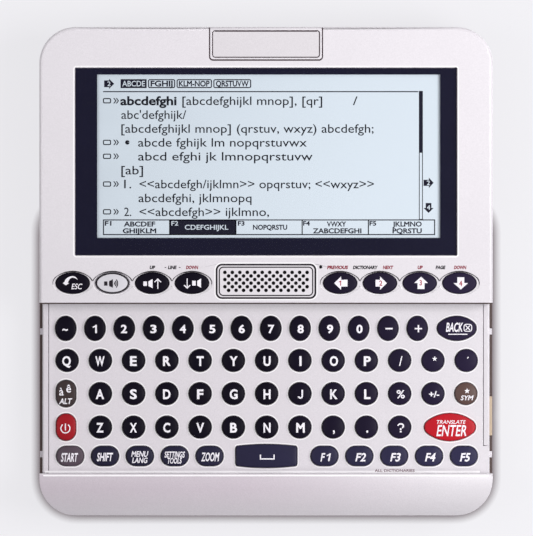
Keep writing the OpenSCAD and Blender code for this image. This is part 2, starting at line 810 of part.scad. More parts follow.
module jack_bezel() color("#c9b690") {
  difference() {
    block(jack_x, body_w/2, jack_y - bezel_len/2, jack_y + bezel_len/2, bezel_z, z_ledge);
    translate([jack_x - eps, jack_y, jack_z]) rotate([0, 90, 0])
      cylinder(d = jack_bore_d + 0.6, h = bezel_t + 2*eps);
  }
}

module case_screws() color("#8d8d92")
  for (spot = case_screw_spots) screw(spot, z_case + 0.2, case_screw_top - 0.3);

module rubber_feet() color("#2a2a2c")
  for (spot = case_feet) {
    post(spot, foot_d - 1, 0, foot_h);
    post(spot, foot_d, 0.2, z_case + foot_pocket);
  }

// Flat cable: from the keyboard board up through the deck, round a loop and up into the screen half
module ribbon_cable() color("#c98a3c") {
  z_run = z_mat + cable_t;
  half = cable_w/2;
  block(-half, half, y_board_back - 2, cable_y, z_mat, z_run);
  block(-half, half, cable_y - cable_t, cable_y, z_mat, z_cable_low + cable_t);
  block(-half, half, cable_loop, cable_y, z_cable_low, z_cable_low + cable_t);
  translate([0, cable_loop, z_cable_low + cable_bend_r]) rotate([0, 90, 0]) difference() {
    cylinder(r = cable_bend_r, h = cable_w, center = true);
    cylinder(r = cable_bend_r - cable_t, h = cable_w + 1, center = true);
    translate([0, cable_bend_r, 0]) cube([4*cable_bend_r, 2*cable_bend_r, cable_w + 1], center = true);
  }
  block(-half, half, cable_loop, cable_end, z_cable_high - cable_t, z_cable_high);
  block(-half, half, cable_end - cable_t, cable_end, z_cable_high - cable_t, z_screen_board);
}

// ---------- screen half ----------

module screen_rear_cover() color("#3a2f2e") {
  inner_r = corner_r - wall_t;
  difference() {
    union() {
      difference() {
        slab(z_under, z_split) panel(body_w/2, y_screen, y_top, 0, corner_r);
        slab(z_rear_inside, z_split + eps)
          panel(body_w/2 - wall_t, y_screen + dark_edge + wall_t, y_top - wall_t, 0, inner_r);
      }
      for (spot = screen_screw_spots) post(spot, boss_d + 0.8, z_rear_inside, z_split);
      for (i = [-1, 0, 1], s = [-1, 1])
        post([i*view_w*0.42, view_y + s*view_l*0.44], 3, z_rear_inside, z_screen_board);
    }
    translate([0, 0, z_under]) mirror([0, 0, 1])
      top_edge_waste(body_w/2, y_screen + channel_len, y_top, corner_r, 0, edge_r);
    block(-body_w, body_w, y_screen - 1, y_screen + channel_len + 0.1, z_under - 1, z_under + steel_t);
    block(-cable_w/2 - 1, cable_w/2 + 1, y_screen + channel_len - 1, cable_end + 1, z_under - 1, z_under + 0.4);
    block(-cable_w/2 - 0.5, cable_w/2 + 0.5, cable_end - cable_slot, cable_end + 0.3,
          z_under, z_rear_inside + eps);
    for (spot = screen_screw_spots) {
      post(spot, screw_head_d + 2*head_clear, z_under - 1, z_under + 0.1 + head_h);
      post(spot, screw_hole_d, z_under, z_split + eps);
    }
  }
}

// Thin engraved ring between an outline and the same outline drawn in
module tab_line() {
  translate([0, y_top + eps - (tab_l + eps)/2, z_face - line_depth]) linear_extrude(line_depth + eps)
    difference() {
      rounded(tab_w, tab_l + eps, 1.1);
      translate([0, line_w]) rounded(tab_w - 2*line_w, tab_l + eps, 1.1 - line_w);
    }
}

module screen_front_cover() color("#e3e0e3") {
  y_low_edge = y_screen + dark_edge;
  difference() {
    union() {
      difference() {
        slab(z_split, z_face) panel(body_w/2, y_low_edge, y_top, 0, corner_r);
        slab(z_split - eps, z_face_inside)
          panel(body_w/2 - wall_t, y_low_edge + wall_t, y_top - wall_t, 0, corner_r - wall_t);
      }
      for (spot = screen_screw_spots) post(spot, boss_d, z_split, z_face_inside + eps);
    }
    top_edge_waste(body_w/2, y_low_edge, y_top, corner_r, z_face, edge_r);
    translate([0, window_y, z_face - pocket_depth]) linear_extrude(pocket_depth + eps)
      square([window_w + 0.2, window_l + 0.2], center = true);
    translate([view_x, view_y, z_face_inside - eps]) linear_extrude(face_t + 2*eps)
      square([view_w + 2*view_margin, view_l + 2*view_margin], center = true);
    for (key = screen_key_spots) translate([key[0], key[1], 0]) {
      slab(z_face - dish_depth, z_face + eps) oval(key[2]/2 + dish_side, dish_l/2);
      slab(z_face_inside - eps, z_face + eps) key_outline(key, key_gap);
    }
    translate([0, speaker_y, 0]) {
      slab(z_face - grille_pocket, z_face + eps)
        rounded(grille_w + 2*grille_gap, grille_l + 2*grille_gap, 1.8);
      slab(z_face_inside - eps, z_face) rounded(grille_w - 3, grille_l - 2.3, 1);
    }
    post([mic_x, mic_y], mic_hole_d, z_face_inside - eps, z_face + eps);
    tab_line();
    translate([0, badge_y, 0]) slab(z_face - badge_pocket, z_face + eps) rounded(badge_w + 0.2, badge_l + 0.2, 0.9);
    for (spot = screen_screw_spots) post(spot, screw_d, z_split - eps, screen_screw_top);
  }
}

// Folded steel channel: plate under the screen half, skirts in the strip, lips under the rails
module slide_channel() color("#a9abb0") {
  y0 = y_screen + 0.2;
  y1 = y_screen + channel_len;
  skirt_x = body_w/2 - steel_t;
  z_lip_low = z_groove + 0.1;
  difference() {
    union() {
      block(-body_w/2, body_w/2, y0, y1, z_under, z_under + steel_t);
      both_sides() {
        block(skirt_x, body_w/2, y0, y1, z_lip_low, z_under + steel_t);
        block(leg_x + slide_gap, skirt_x + eps/2, y0, y1, z_lip_low, z_rail - slide_gap - 0.05);
        block(rail_x + rail_line, deck_x - 0.2, y0, y1, z_deck + slide_gap, z_under + steel_t/2);
      }
    }
    for (spot = screen_screw_spots) post(spot, screw_head_d + 2*head_clear, z_under - 1, z_under + 1);
  }
}

module screen_screws() color("#8d8d92")
  for (spot = screen_screw_spots) screw(spot, z_under + 0.1, screen_screw_top - 0.3);

module screen_board() color("#2f6b45") {
  difference() {
    block(2 - body_w/2 + wall_t, body_w/2 - wall_t - 2, y_screen + dark_edge + wall_t + 0.3, y_top - wall_t - 1,
          z_screen_board, z_screen_mat);
    for (spot = screen_screw_spots) post(spot, boss_d + 1.4, z_screen_board - 1, z_screen_mat + 1);
    for (s = [-1, 1]) translate([s*(body_w/2 - wall_t), y_top - wall_t, z_screen_board - 1])
      cylinder(r = corner_r - wall_t, h = board_t + 2);
    translate([0, speaker_y, 0]) slab(z_screen_board - 1, z_screen_mat + 1) rounded(speaker_w - 2, speaker_l - 0.4, 2);
  }
  driver_w = 14;
  for (i = [-1, 0, 1]) translate([2*i*driver_w, y_top - wall_t - 3.4, 0]) slab(z_screen_mat, z_screen_mat + board_t)
    square([driver_w, driver_w/5], center = true);
}

module function_key_mat() color("#8a8a90") {
  y0 = y_function - function_l/2 - 0.8;
  y1 = y_function + function_l/2 + 1;
  mat_in = function_x - function_w/2 + 1.2;
  mat_out = function_xs[7] + function_w/2 + 0.3;
  for (s = [-1, 1]) {
    block(min(s*mat_in, s*mat_out), max(s*mat_in, s*mat_out), y0, y1, z_screen_mat, z_screen_mat + sheet_t);
  }
  for (key = screen_key_spots) dome(key, z_screen_mat + sheet_t/2, z_screen_flange);
}

module display_frame() color("#f0f0f2") translate([view_x, view_y, 0]) difference() {
  slab(z_screen_mat, z_face_inside - 0.3) square([view_w + 2*frame_margin, view_l + 2*frame_margin], center = true);
  slab(z_glass, z_face) square([view_w + 2*glass_margin, view_l + 2*glass_margin], center = true);
}

module display_panel() color("#c6d0dc") translate([view_x, view_y, 0]) {
  slab(z_glass, z_glass + glass_t/2) square([view_w + 2*glass_margin, view_l + 2*glass_margin], center = true);
  slab(z_glass + glass_t/2, z_face_inside) square([view_w + 2*glass_margin, view_l + glass_margin], center = true);
}

module display_window() color("#242238") translate([0, window_y, 0])
  slab(z_face - window_drop - window_t, z_face - window_drop) square([window_w, window_l], center = true);

module speaker_driver() color("#2b2b2e") translate([0, speaker_y, 0]) difference() {
  union() {
    slab(z_screen_mat + 0.1, z_face_inside - 0.3) rounded(speaker_w, speaker_l, 4.1);
    slab(z_screen_board - 0.2, z_screen_mat + 0.2) rounded(speaker_w - 7, speaker_l - 2.4, 1.5);
  }
  slab(z_face_inside - 0.6, z_face) rounded(speaker_w - 2, speaker_l - 2, 3.1);
}

module speaker_grille() color("#dedbde") {
  rows = 6;
  columns = 12;
  z_low = z_face - grille_pocket;
  z_high = z_low + grille_plate_t;
  difference() {
    translate([0, speaker_y, 0]) slab(z_low, z_high) rounded(grille_w, grille_l, 1.7);
    translate([0, speaker_y, 0]) slab(z_high - line_depth, z_high + eps) difference() {
      rounded(grille_w - 2*grille_line_in, grille_l - 2*grille_line_in, 1.2);
      rounded(grille_w - 2*grille_line_in - 2*line_w, grille_l - 2*grille_line_in - 2*line_w, 1.2 - line_w);
    }
    for (row = [0:rows - 1], i = [0:columns - 1 - row%2])
      post([(i + (row%2)/2 - (columns - 1)/2)*grille_pitch, speaker_y + ((rows - 1)/2 - row)*grille_row],
           grille_hole_d, z_low - eps, z_high + eps, $fn = 24);
  }
}

module microphone() color("#55555a") post([mic_x, mic_y], mic_d, z_screen_mat, z_face_inside - 0.1);

module badge_plate() color("#e6e4e7") translate([0, badge_y, 0])
  slab(z_face - badge_pocket, z_face - badge_pocket + badge_t) rounded(badge_w, badge_l, 0.8);

// ---------- keys ----------

function key_colour(name) =
  name == "power_key" || name == "enter_key" ? "#b02438" :
  name == "alt_key" || name == "symbol_key" || name == "start_key" ? "#64565a" :
  name == "speak_key" ? "#c9c7ce" : "#2b2638";

module base_key_node(entry) color(key_colour(entry[0]))
  for (key = entry[1]) key_solid(key, z_deck, deck_t, cap_proud, z_flange);

module screen_key_node(entry) color(key_colour(entry[0]))
  for (key = entry[1]) key_solid(key, z_face, face_t, function_proud, z_screen_flange);

lower_case();
upper_case();
left_rail();
right_rail();
keyboard_board();
board_chips();
keyboard_mat();
battery_cells();
battery_contacts();
battery_door();
jack_socket();
jack_bezel();
case_screws();
rubber_feet();
ribbon_cable();
screen_rear_cover();
screen_front_cover();
slide_channel();
screen_screws();
screen_board();
function_key_mat();
display_frame();
display_panel();
display_window();
speaker_driver();
speaker_grille();
microphone();
badge_plate();
for (entry = base_keys) base_key_node(entry);
for (entry = screen_keys) screen_key_node(entry);
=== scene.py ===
# %% [markdown]
# # A handheld translator with a sliding screen
#
# The real object is two thin plastic boxes. The lower box carries a keyboard, and the upper one, with
# the display, slides on two rails and covers the keys. The lesson dresses the engineering solids of
# that object: they already have the right size and place, so each step only adds a finish or swaps a
# plain solid for a softer, more detailed mesh that fills the same space.

# %% Load the fixed frame
import json
import math
import bmesh
import bpy
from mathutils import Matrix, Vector
from mathutils.bvhtree import BVHTree

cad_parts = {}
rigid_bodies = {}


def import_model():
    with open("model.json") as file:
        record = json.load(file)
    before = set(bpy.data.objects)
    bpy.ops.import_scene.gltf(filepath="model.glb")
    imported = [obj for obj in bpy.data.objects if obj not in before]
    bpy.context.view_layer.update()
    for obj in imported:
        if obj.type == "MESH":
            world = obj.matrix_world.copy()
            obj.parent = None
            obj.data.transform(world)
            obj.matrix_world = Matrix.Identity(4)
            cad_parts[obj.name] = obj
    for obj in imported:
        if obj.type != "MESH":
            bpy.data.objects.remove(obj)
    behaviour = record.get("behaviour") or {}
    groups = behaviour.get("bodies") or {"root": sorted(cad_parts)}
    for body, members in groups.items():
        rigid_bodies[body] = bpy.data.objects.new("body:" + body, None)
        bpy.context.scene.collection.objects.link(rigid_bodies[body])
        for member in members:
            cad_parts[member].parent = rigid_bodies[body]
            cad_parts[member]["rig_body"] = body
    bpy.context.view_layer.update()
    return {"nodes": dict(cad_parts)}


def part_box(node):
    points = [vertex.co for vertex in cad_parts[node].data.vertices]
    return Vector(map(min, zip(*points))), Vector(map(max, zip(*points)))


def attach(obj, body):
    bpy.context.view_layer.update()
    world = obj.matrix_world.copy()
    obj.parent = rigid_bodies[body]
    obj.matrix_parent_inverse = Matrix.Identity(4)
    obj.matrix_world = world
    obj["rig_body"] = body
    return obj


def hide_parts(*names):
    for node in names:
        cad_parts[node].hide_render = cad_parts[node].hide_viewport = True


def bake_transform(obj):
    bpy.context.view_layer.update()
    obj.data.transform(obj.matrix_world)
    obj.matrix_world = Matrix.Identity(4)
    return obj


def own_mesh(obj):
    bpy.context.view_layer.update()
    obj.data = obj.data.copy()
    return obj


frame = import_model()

# %% [markdown]
# ## Millimetres and colours
#
# Blender works in metres and in linear light. A person thinks about a small gadget in millimetres and
# picks colours on a 0-255 scale. Every shape below is therefore drawn in millimetres and scaled once,
# and every colour goes through the same conversion.

# %% Units
MM = 0.001
TURN = 2 * math.pi


def linear(red, green, blue):
    """A colour picked in 0-255 steps, as the linear values that shaders use."""
    def channel(value):
        value = value / 255
        return value / 12.92 if value <= 0.04045 else ((value + 0.055) / 1.055) ** 2.4
    return (channel(red), channel(green), channel(blue), 1.0)


def shaded(colour, factor):
    """The same linear colour, lighter or darker."""
    return tuple(min(1.0, part * factor) for part in colour[:3]) + (1.0,)


print("mid grey is", round(linear(128, 128, 128)[0], 3))

# %% [markdown]
# ## Reading the solids
#
# One node may hold several separate solids, such as the six screws or the seven keys of a row. To put
# something on each of them, its place is read from the frame instead of being typed again: the loose
# triangles are merged, and a flood fill walks from corner to corner to find each island.

# %% Islands of a node
def node_box(node):
    """Lowest and highest corner of a node, in millimetres."""
    low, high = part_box(node)
    return low / MM, high / MM


def merged(node, gap=2e-6):
    """A node as a bmesh whose loose triangles share their corners."""
    maker = bmesh.new()
    maker.from_mesh(frame["nodes"][node].data)
    bmesh.ops.remove_doubles(maker, verts=maker.verts, dist=gap)
    return maker


def solids_of(node):
    """The box of each separate solid of a node, in millimetres, from left to right."""
    maker = merged(node, 1e-6)
    waiting = set(maker.verts)
    boxes = []
    while waiting:
        border = [waiting.pop()]
        island = []
        while border:
            vert = border.pop()
            island.append(vert.co / MM)
            near = {edge.other_vert(vert) for edge in vert.link_edges} & waiting
            waiting -= near
            border += near
        boxes.append((Vector(map(min, zip(*island))), Vector(map(max, zip(*island)))))
    maker.free()
    return sorted(boxes, key=lambda box: (round(box[0].x, 2), box[0].y))


def centres_of(boxes):
    """The middle of each box, at height 0."""
    return [((low.x + high.x) / 2, (low.y + high.y) / 2, 0) for low, high in boxes]


print("case screws at", [(round(x, 1), round(y, 1)) for x, y, _ in centres_of(solids_of("case_screws"))])

# %% [markdown]
# ## From a drawing to a piece
#
# Most new pieces are skins through a stack of rings: the bottom outline, the wall, a rounded edge and
# the crown. The same few helpers turn rings into a closed mesh, scale it to metres, smooth it, and
# hang it on the body that it moves with.

# %% Mesh helpers
def smooth_faces(mesh, angle):
    """Smooth shading everywhere except at edges sharper than the angle."""
    mesh.polygons.foreach_set("use_smooth", [True] * len(mesh.polygons))
    mesh.set_sharp_from_angle(angle=math.radians(angle))
    return mesh


def as_mesh(maker, name):
    """A bmesh as a mesh, as it stands."""
    mesh = bpy.data.meshes.new(name)
    maker.to_mesh(mesh)
    maker.free()
    return mesh


def mesh_from(maker, name, angle=35):
    """A bmesh drawn in millimetres, as a smoothed mesh in metres."""
    bmesh.ops.scale(maker, vec=Vector((MM, MM, MM)), verts=maker.verts)
    return smooth_faces(as_mesh(maker, name), angle)


def ladder(maker, first, second):
    """Quads between two closed loops of points."""
    for i in range(len(first)):
        after = (i + 1) % len(first)
        maker.faces.new((first[i], first[after], second[after], second[i]))


def skin(rings):
    """A closed skin through rings of points, from the lowest ring to the highest."""
    maker = bmesh.new()
    loops = [[maker.verts.new(point) for point in points] for points in rings]
    for low, high in zip(loops, loops[1:]):
        ladder(maker, low, high)
    maker.faces.new(loops[0][::-1])
    maker.faces.new(loops[-1])
    return maker


def joined(meshes, name):
    """Several meshes as one."""
    maker = bmesh.new()
    for mesh in meshes:
        maker.from_mesh(mesh)
        bpy.data.meshes.remove(mesh)
    return as_mesh(maker, name)


print("mesh helpers ready")

# %% [markdown]
# ### Objects and pieces
#
# Some meshes come out of a modifier or a text. A throw-away object then carries it, and only the
# evaluated mesh of that object is kept. A piece is an object that rides on a body. It may belong to a
# material slot, which gives its finish where the mesh has none yet, and it may stand for a solid, which is
# then hidden.

# %% Scene helpers
def in_scene(name, data):
    """A new object in the scene."""
    thing = bpy.data.objects.new(name, data)
    bpy.context.scene.collection.objects.link(thing)
    return thing


def frozen(holder):
    """The mesh of an object after its modifiers. The object itself goes away."""
    bpy.context.view_layer.update()
    seen = holder.evaluated_get(bpy.context.evaluated_depsgraph_get())
    mesh = bpy.data.meshes.new_from_object(seen)
    bpy.data.objects.remove(holder)
    return mesh


def finished(name, mesh, slot=None, stands_for=(), material=None):
    """A mesh as an object with its finish, its slot and the solids that it stands for."""
    piece = in_scene(name, mesh)
    if not mesh.materials:
        mesh.materials.append(material or finishes[slot])
    if stands_for:
        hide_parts(*stands_for)
    return piece


def add_piece(name, mesh, body, slot=None, stands_for=(), material=None):
    """A finished mesh as a piece that rides on a body."""
    piece = finished(name, mesh, slot, stands_for, material)
    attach(piece, body)
    return piece


def print_piece(name, prints, body, ink_used):
    """Several prints as one piece that rides on a body."""
    return add_piece(name, joined(prints, name), body, material=ink_used)


print("scene helpers ready")

# %% [markdown]
# ## Outlines
#
# The keys have four kinds of outline: round, an oval of four arcs, a stadium, and the space key with
# its bowed sides. Each function walks round the shape by the direction of its normal and returns the
# point and that normal, so that the same outline can be grown for a flange or drawn in for a rounded
# edge by moving each point along its own normal.

# %% Outline functions
def quarter(steps):
    """Cosine and sine at even steps of a quarter turn."""
    angles = [i / steps * math.pi / 2 for i in range(steps + 1)]
    return [(math.cos(angle), math.sin(angle)) for angle in angles]


def oval(half_w, half_l, steps=56):
    """An oval of four tangent arcs."""
    long, short = max(half_w, half_l), min(half_w, half_l)
    end_r = short * short / long * 1.05
    side_r = ((long - end_r) ** 2 + short * short - end_r * end_r) / (2 * (short - end_r))
    join = math.atan2(side_r - short, long - end_r)
    outline = []
    for step in range(steps):
        nx, ny = math.cos(TURN * step / steps), math.sin(TURN * step / steps)
        if math.atan2(abs(ny), abs(nx)) < join:
            x, y = math.copysign(long - end_r, nx) + end_r * nx, end_r * ny
        else:
            x, y = side_r * nx, side_r * ny - math.copysign(side_r - short, ny)
        outline.append((x, y, nx, ny) if half_w >= half_l else (-y, x, -ny, nx))
    return outline


def rounded(width, length, radius, steps=48):
    """A rectangle with round corners, or a stadium where the radius is half a side."""
    outline = []
    for step in range(steps):
        angle = TURN * (step + 0.5) / steps
        nx, ny = math.cos(angle), math.sin(angle)
        x = math.copysign(width / 2 - radius, nx) + radius * nx
        y = math.copysign(length / 2 - radius, ny) + radius * ny
        outline.append((x, y, nx, ny))
    return outline


def ellipse(half_w, half_l, steps=56):
    """A plain ellipse, walked by its angle."""
    outline = []
    for step in range(steps):
        c, s = math.cos(TURN * step / steps), math.sin(TURN * step / steps)
        size = math.hypot(c * half_l, s * half_w)
        outline.append((half_w * c, half_l * s, c * half_l / size, s * half_w / size))
    return outline


def barrel(width, length, end_length, radius=1.4, steps=14):
    """The space key: straight ends, long sides that bow outwards."""
    sag = (length - end_length) / 2
    bow_r = (width * width / 4 + sag * sag) / (2 * sag)

    def bow(x):
        return length / 2 - bow_r + math.sqrt(bow_r ** 2 - x * x)
    corner_x, corner_y = width / 2 - radius, length / 2 - radius
    edge = [(corner_x + radius * c, min(corner_y + radius * s, bow(corner_x + radius * c)))
            for c, s in quarter(steps)]
    edge += [(x, bow(x)) for x in (corner_x * (1 - step / steps) for step in range(1, steps + 1))]
    upper = edge + [(-x, y) for x, y in reversed(edge[:-1])]
    points = upper + [(-x, -y) for x, y in upper]
    outline = []
    for i, (x, y) in enumerate(points):
        before, after = points[i - 1], points[(i + 1) % len(points)]
        along_x, along_y = after[0] - before[0], after[1] - before[1]
        size = math.hypot(along_x, along_y)
        outline.append((x, y, along_y / size, -along_x / size))
    return outline


def ring(outline, grow, z, centre=(0, 0)):
    """One ring of points: the outline moved along its normals and lifted to z."""
    return [(centre[0] + x + nx * grow, centre[1] + y + ny * grow, z) for x, y, nx, ny in outline]


def turned(name, profile, steps, angle=35):
    """A turned solid through these radii and heights."""
    rings = [[(x * radius, y * radius, z) for x, y, _, _ in ellipse(1, 1, steps)] for radius, z in profile]
    return mesh_from(skin(rings), name, angle)


print("an oval of 5.7 by 6.8 mm has", len(oval(2.85, 3.4)), "points")

# %% [markdown]
# ## Nodes
#
# A shader or geometry tree is mostly links. One helper fills the inputs of a node: a socket is linked
# and a plain value is set. The others stand for the few nodes that every finish needs, so that a
# material reads as a short recipe.

# %% Node helpers
def plug(target, value):
    """Links a socket to an input, or sets a plain value on it."""
    if isinstance(value, bpy.types.NodeSocket):
        target.id_data.links.new(value, target)
    else:
        target.default_value = value


def feed(node, **inputs):
    """Fills inputs of a node by name. An underscore stands for a space."""
    for name, value in inputs.items():
        plug(node.inputs[name.replace("_", " ")], value)
    return node


def add_node(tree, kind, **settings):
    """A node with its settings."""
    node = tree.nodes.new(kind)
    for setting, value in settings.items():
        setattr(node, setting, value)
    return node


def typed(sockets, name, kind):
    """The socket of this type, on a node that has several of one name."""
    return next(socket for socket in sockets if socket.name == name and socket.type == kind)


def math_node(tree, operation, *values):
    """One Math node, fed by sockets or plain numbers."""
    node = add_node(tree, "ShaderNodeMath", operation=operation)
    for target, value in zip(node.inputs, values):
        plug(target, value)
    return node.outputs[0]


def vector_node(tree, operation, first, second):
    """One Vector Math node on two vectors, or on a vector and its scale."""
    node = add_node(tree, "ShaderNodeVectorMath", operation=operation)
    plug(node.inputs[0], first)
    plug(node.inputs["Scale" if operation == "SCALE" else 1], second)
    return node.outputs["Vector"]


def spread(tree, value, low, high, new_low=0.0, new_high=1.0):
    """Stretches one range of a value over another and clamps it."""
    node = add_node(tree, "ShaderNodeMapRange", clamp=True)
    feed(node, Value=value, From_Min=low, From_Max=high, To_Min=new_low, To_Max=new_high)
    return node.outputs["Result"]


def object_place(tree):
    """Where a point lies on its object, in metres."""
    return add_node(tree, "ShaderNodeTexCoord").outputs["Object"]


def object_axis(tree, axis):
    """The same along one axis."""
    return feed(add_node(tree, "ShaderNodeSeparateXYZ"), Vector=object_place(tree)).outputs[axis]


def object_noise(tree, scale, detail, stretch=(1, 1, 1), turn=0.0):
    """Noise that is fixed to the object, and may be stretched into streaks."""
    mapping = feed(add_node(tree, "ShaderNodeMapping"), Vector=object_place(tree), Scale=stretch,
                   Rotation=(0, 0, math.radians(turn)))
    noise = add_node(tree, "ShaderNodeTexNoise")
    return feed(noise, Vector=mapping.outputs["Vector"], Scale=scale, Detail=detail).outputs["Fac"]


print("node helpers ready")

# %% [markdown]
# ### Moulded grain, handling, brushed lines and flakes
#
# Plastic, rubber and metal differ mostly in how fine their texture is, so these effects are node groups
# with one named input each, built once. The mould of a case is spark-eroded, which prints a grain of
# tenths of a millimetre into the plastic. Hands then leave patches of slightly different gloss, and
# hairline scratches that run mostly along the slide's direction. Scales are counts per metre, because
# Object coordinates are in metres.

# %% Shared groups
def moulded_grain(tree, grain):
    """Height of a fine moulded grain, and a broad, faint unevenness of colour."""
    return {"Height": object_noise(tree, grain, 4),
            "Mottle": spread(tree, object_noise(tree, 90, 5), 0.35, 0.65)}


def handling(tree, patches):
    """Patches of worn gloss and thin scratches, both 0 to 1."""
    lengthways = spread(tree, object_noise(tree, 14, 2, (190, 4, 190), 8), 0.73, 0.77)
    sideways = spread(tree, object_noise(tree, 11, 2, (5, 230, 230), -21), 0.74, 0.78)
    return {"Smudge": spread(tree, object_noise(tree, patches, 6), 0.42, 0.68),
            "Scratch": math_node(tree, "MAXIMUM", lengthways, sideways)}


def brushed(tree, lines):
    """Fine parallel lines along X, as a sheet of metal has from its brushing."""
    fine = object_noise(tree, lines, 4, (1, 90, 90))
    return {"Height": fine, "Streak": spread(tree, fine, 0.3, 0.7)}


def paint_flake(tree, flakes):
    """A random value for each tiny flake of a metallic paint."""
    cells = add_node(tree, "ShaderNodeTexVoronoi", feature="F1")
    feed(cells, Vector=object_place(tree), Scale=flakes)
    split = feed(add_node(tree, "ShaderNodeSeparateColor"), Color=cells.outputs["Color"])
    return {"Sparkle": split.outputs["Red"]}


def shared_group(build, given, value):
    """A shader group with one input, which the build function turns into named outputs."""
    tree = bpy.data.node_groups.new(build.__name__, "ShaderNodeTree")
    socket = tree.interface.new_socket(name=given, in_out="INPUT", socket_type="NodeSocketFloat")
    socket.default_value = value
    results = build(tree, tree.nodes.new("NodeGroupInput").outputs[given])
    for name in results:
        tree.interface.new_socket(name=name, in_out="OUTPUT", socket_type="NodeSocketFloat")
    feed(tree.nodes.new("NodeGroupOutput"), **results)
    return tree


groups = {build.__name__: shared_group(build, given, value) for build, given, value in (
    (moulded_grain, "Grain", 2500.0), (handling, "Patches", 45.0), (brushed, "Lines", 60.0),
    (paint_flake, "Flakes", 6500.0))}
print("shader groups:", ", ".join(groups))

# %% [markdown]
# ## Material helpers
#
# Each material places groups with its own values and keeps its own Principled shader. Numbers that are
# the same all over a piece go straight onto the shader's own sockets.

# %% Material helpers
def new_material(name, **shader_values):
    """A material with a Principled shader, whose named sockets get plain values."""
    material = bpy.data.materials.new(name)
    material.use_nodes = True
    shader = feed(material.node_tree.nodes["Principled BSDF"], **shader_values)
    return material, material.node_tree, shader


def place(tree, group, **values):
    """The outputs of a shared group, placed in a material."""
    return feed(add_node(tree, "ShaderNodeGroup", node_tree=groups[group]), **values).outputs


def blend(tree, factor, first, second):
    """A mix of two colours, each a plain colour or a socket."""
    node = feed(add_node(tree, "ShaderNodeMix", data_type="RGBA"), Factor=factor)
    plug(typed(node.inputs, "A", "RGBA"), first)
    plug(typed(node.inputs, "B", "RGBA"), second)
    return typed(node.outputs, "Result", "RGBA")


def partly(tree, factor, share):
    """A share of a value, for a mix that never goes all the way."""
    return math_node(tree, "MULTIPLY", factor, share)


def bump(tree, height, depth):
    """The normal of a surface whose height is a share of this many millimetres."""
    node = feed(add_node(tree, "ShaderNodeBump"), Height=height, Strength=1.0, Distance=depth * MM)
    return node.outputs["Normal"]


def along(tree, axis, start, end, from_value, to_value):
    """A value that changes along one axis of the object, between two places in millimetres."""
    return spread(tree, object_axis(tree, axis), start * MM, end * MM, from_value, to_value)


print("material helpers ready")

# %% [markdown]
# ## Plastics
#
# The visible case is silver-painted plastic: nearly white, with flakes that only show as a faint
# sparkle. Its colour is painted lighter towards the top, and greyer on the chin and on the deck below
# the screen, less so towards the right: painted light and shade. The underside, the sliding strip and
# the keys are plain mould-coloured plastic, and the keys' colour is painted brighter towards the right as
# painted light. One builder makes them all, because they differ only in tint, gloss and grain.

# %% Plastic finishes
white = (1.0, 1.0, 1.0, 1.0)
painted_shade_tint = (0.86, 0.80, 0.84, 1.0)


def plastic(name, colour, roughness, grain=2500.0, depth=0.012, fading=None, **shader_values):
    """Mould-coloured plastic with grain and handling marks. The painted light ramp is (start, end, factor) in
    X: painted light that scales the colour up towards the right.
    """
    material, tree, shader = new_material(name, **shader_values)
    texture = place(tree, "moulded_grain", Grain=grain)
    marks = place(tree, "handling")
    tint = blend(tree, texture["Mottle"], shaded(colour, 0.94), shaded(colour, 1.06))
    tint = blend(tree, partly(tree, marks["Scratch"], 0.22), tint, shaded(colour, 1.7))
    if fading:
        start, end, factor = fading
        # Painted light: the colour is scaled up towards the right, where the light falls.
        tint = vector_node(tree, "SCALE", tint, along(tree, "X", start, end, 1.0, factor))
    feed(shader, Base_Color=tint, Normal=bump(tree, texture["Height"], depth),
         Roughness=math_node(tree, "MULTIPLY_ADD", marks["Smudge"], -0.10, roughness))
    return material


def painted_shade_places(tree):
    """Where shade is painted on the case: on the chin and, more lightly, on the deck below the screen, less
    towards the right.
    """
    chin_start = along(tree, "Y", -56.7, -57.1, 0.0, 1.0)
    chin_end = along(tree, "Y", -61, -68, 1.0, 0.3)
    chin = math_node(tree, "MULTIPLY", chin_start, chin_end)
    deck = along(tree, "Y", -9, -14, 0.0, 0.22)
    fading = along(tree, "X", -5, 55, 1.0, 0.0)
    return math_node(tree, "MULTIPLY", math_node(tree, "MAXIMUM", chin, deck), fading)


def silver_paint(name, colour, roughness=0.42):
    """Metallic paint: a pale coat whose flakes shift its tint, with soft scratches, and painted light and
    shade across the case.
    """
    material, tree, shader = new_material(name, Coat_Weight=0.12, Coat_Roughness=0.3)
    flakes = place(tree, "paint_flake")
    texture = place(tree, "moulded_grain", Grain=3800.0)
    marks = place(tree, "handling", Patches=38.0)
    tint = blend(tree, flakes["Sparkle"], shaded(colour, 0.93), shaded(colour, 1.05))
    tint = blend(tree, partly(tree, texture["Mottle"], 0.35), tint, shaded(colour, 0.955))
    tint = blend(tree, partly(tree, marks["Scratch"], 0.3), tint, shaded(colour, 0.80))
    # Painted light: the colour is lighter towards the top of the case and darker towards the bottom.
    tint = vector_node(tree, "SCALE", tint, along(tree, "Y", 68, -15, 1.05, 0.95))
    # Painted shade on the chin and on the deck below the screen.
    tint = vector_node(tree, "MULTIPLY", tint, blend(tree, painted_shade_places(tree), white, painted_shade_tint))
    feed(shader, Base_Color=tint, Normal=bump(tree, texture["Height"], 0.006),
         Roughness=math_node(tree, "MULTIPLY_ADD", marks["Smudge"], -0.09, roughness))
    return material


def key_plastic(name, colour, roughness=0.46, specular=0.2, **settings):
    """The smoother plastic of a key."""
    return plastic(name, linear(*colour), roughness, depth=0.008, Specular_IOR_Level=specular, **settings)


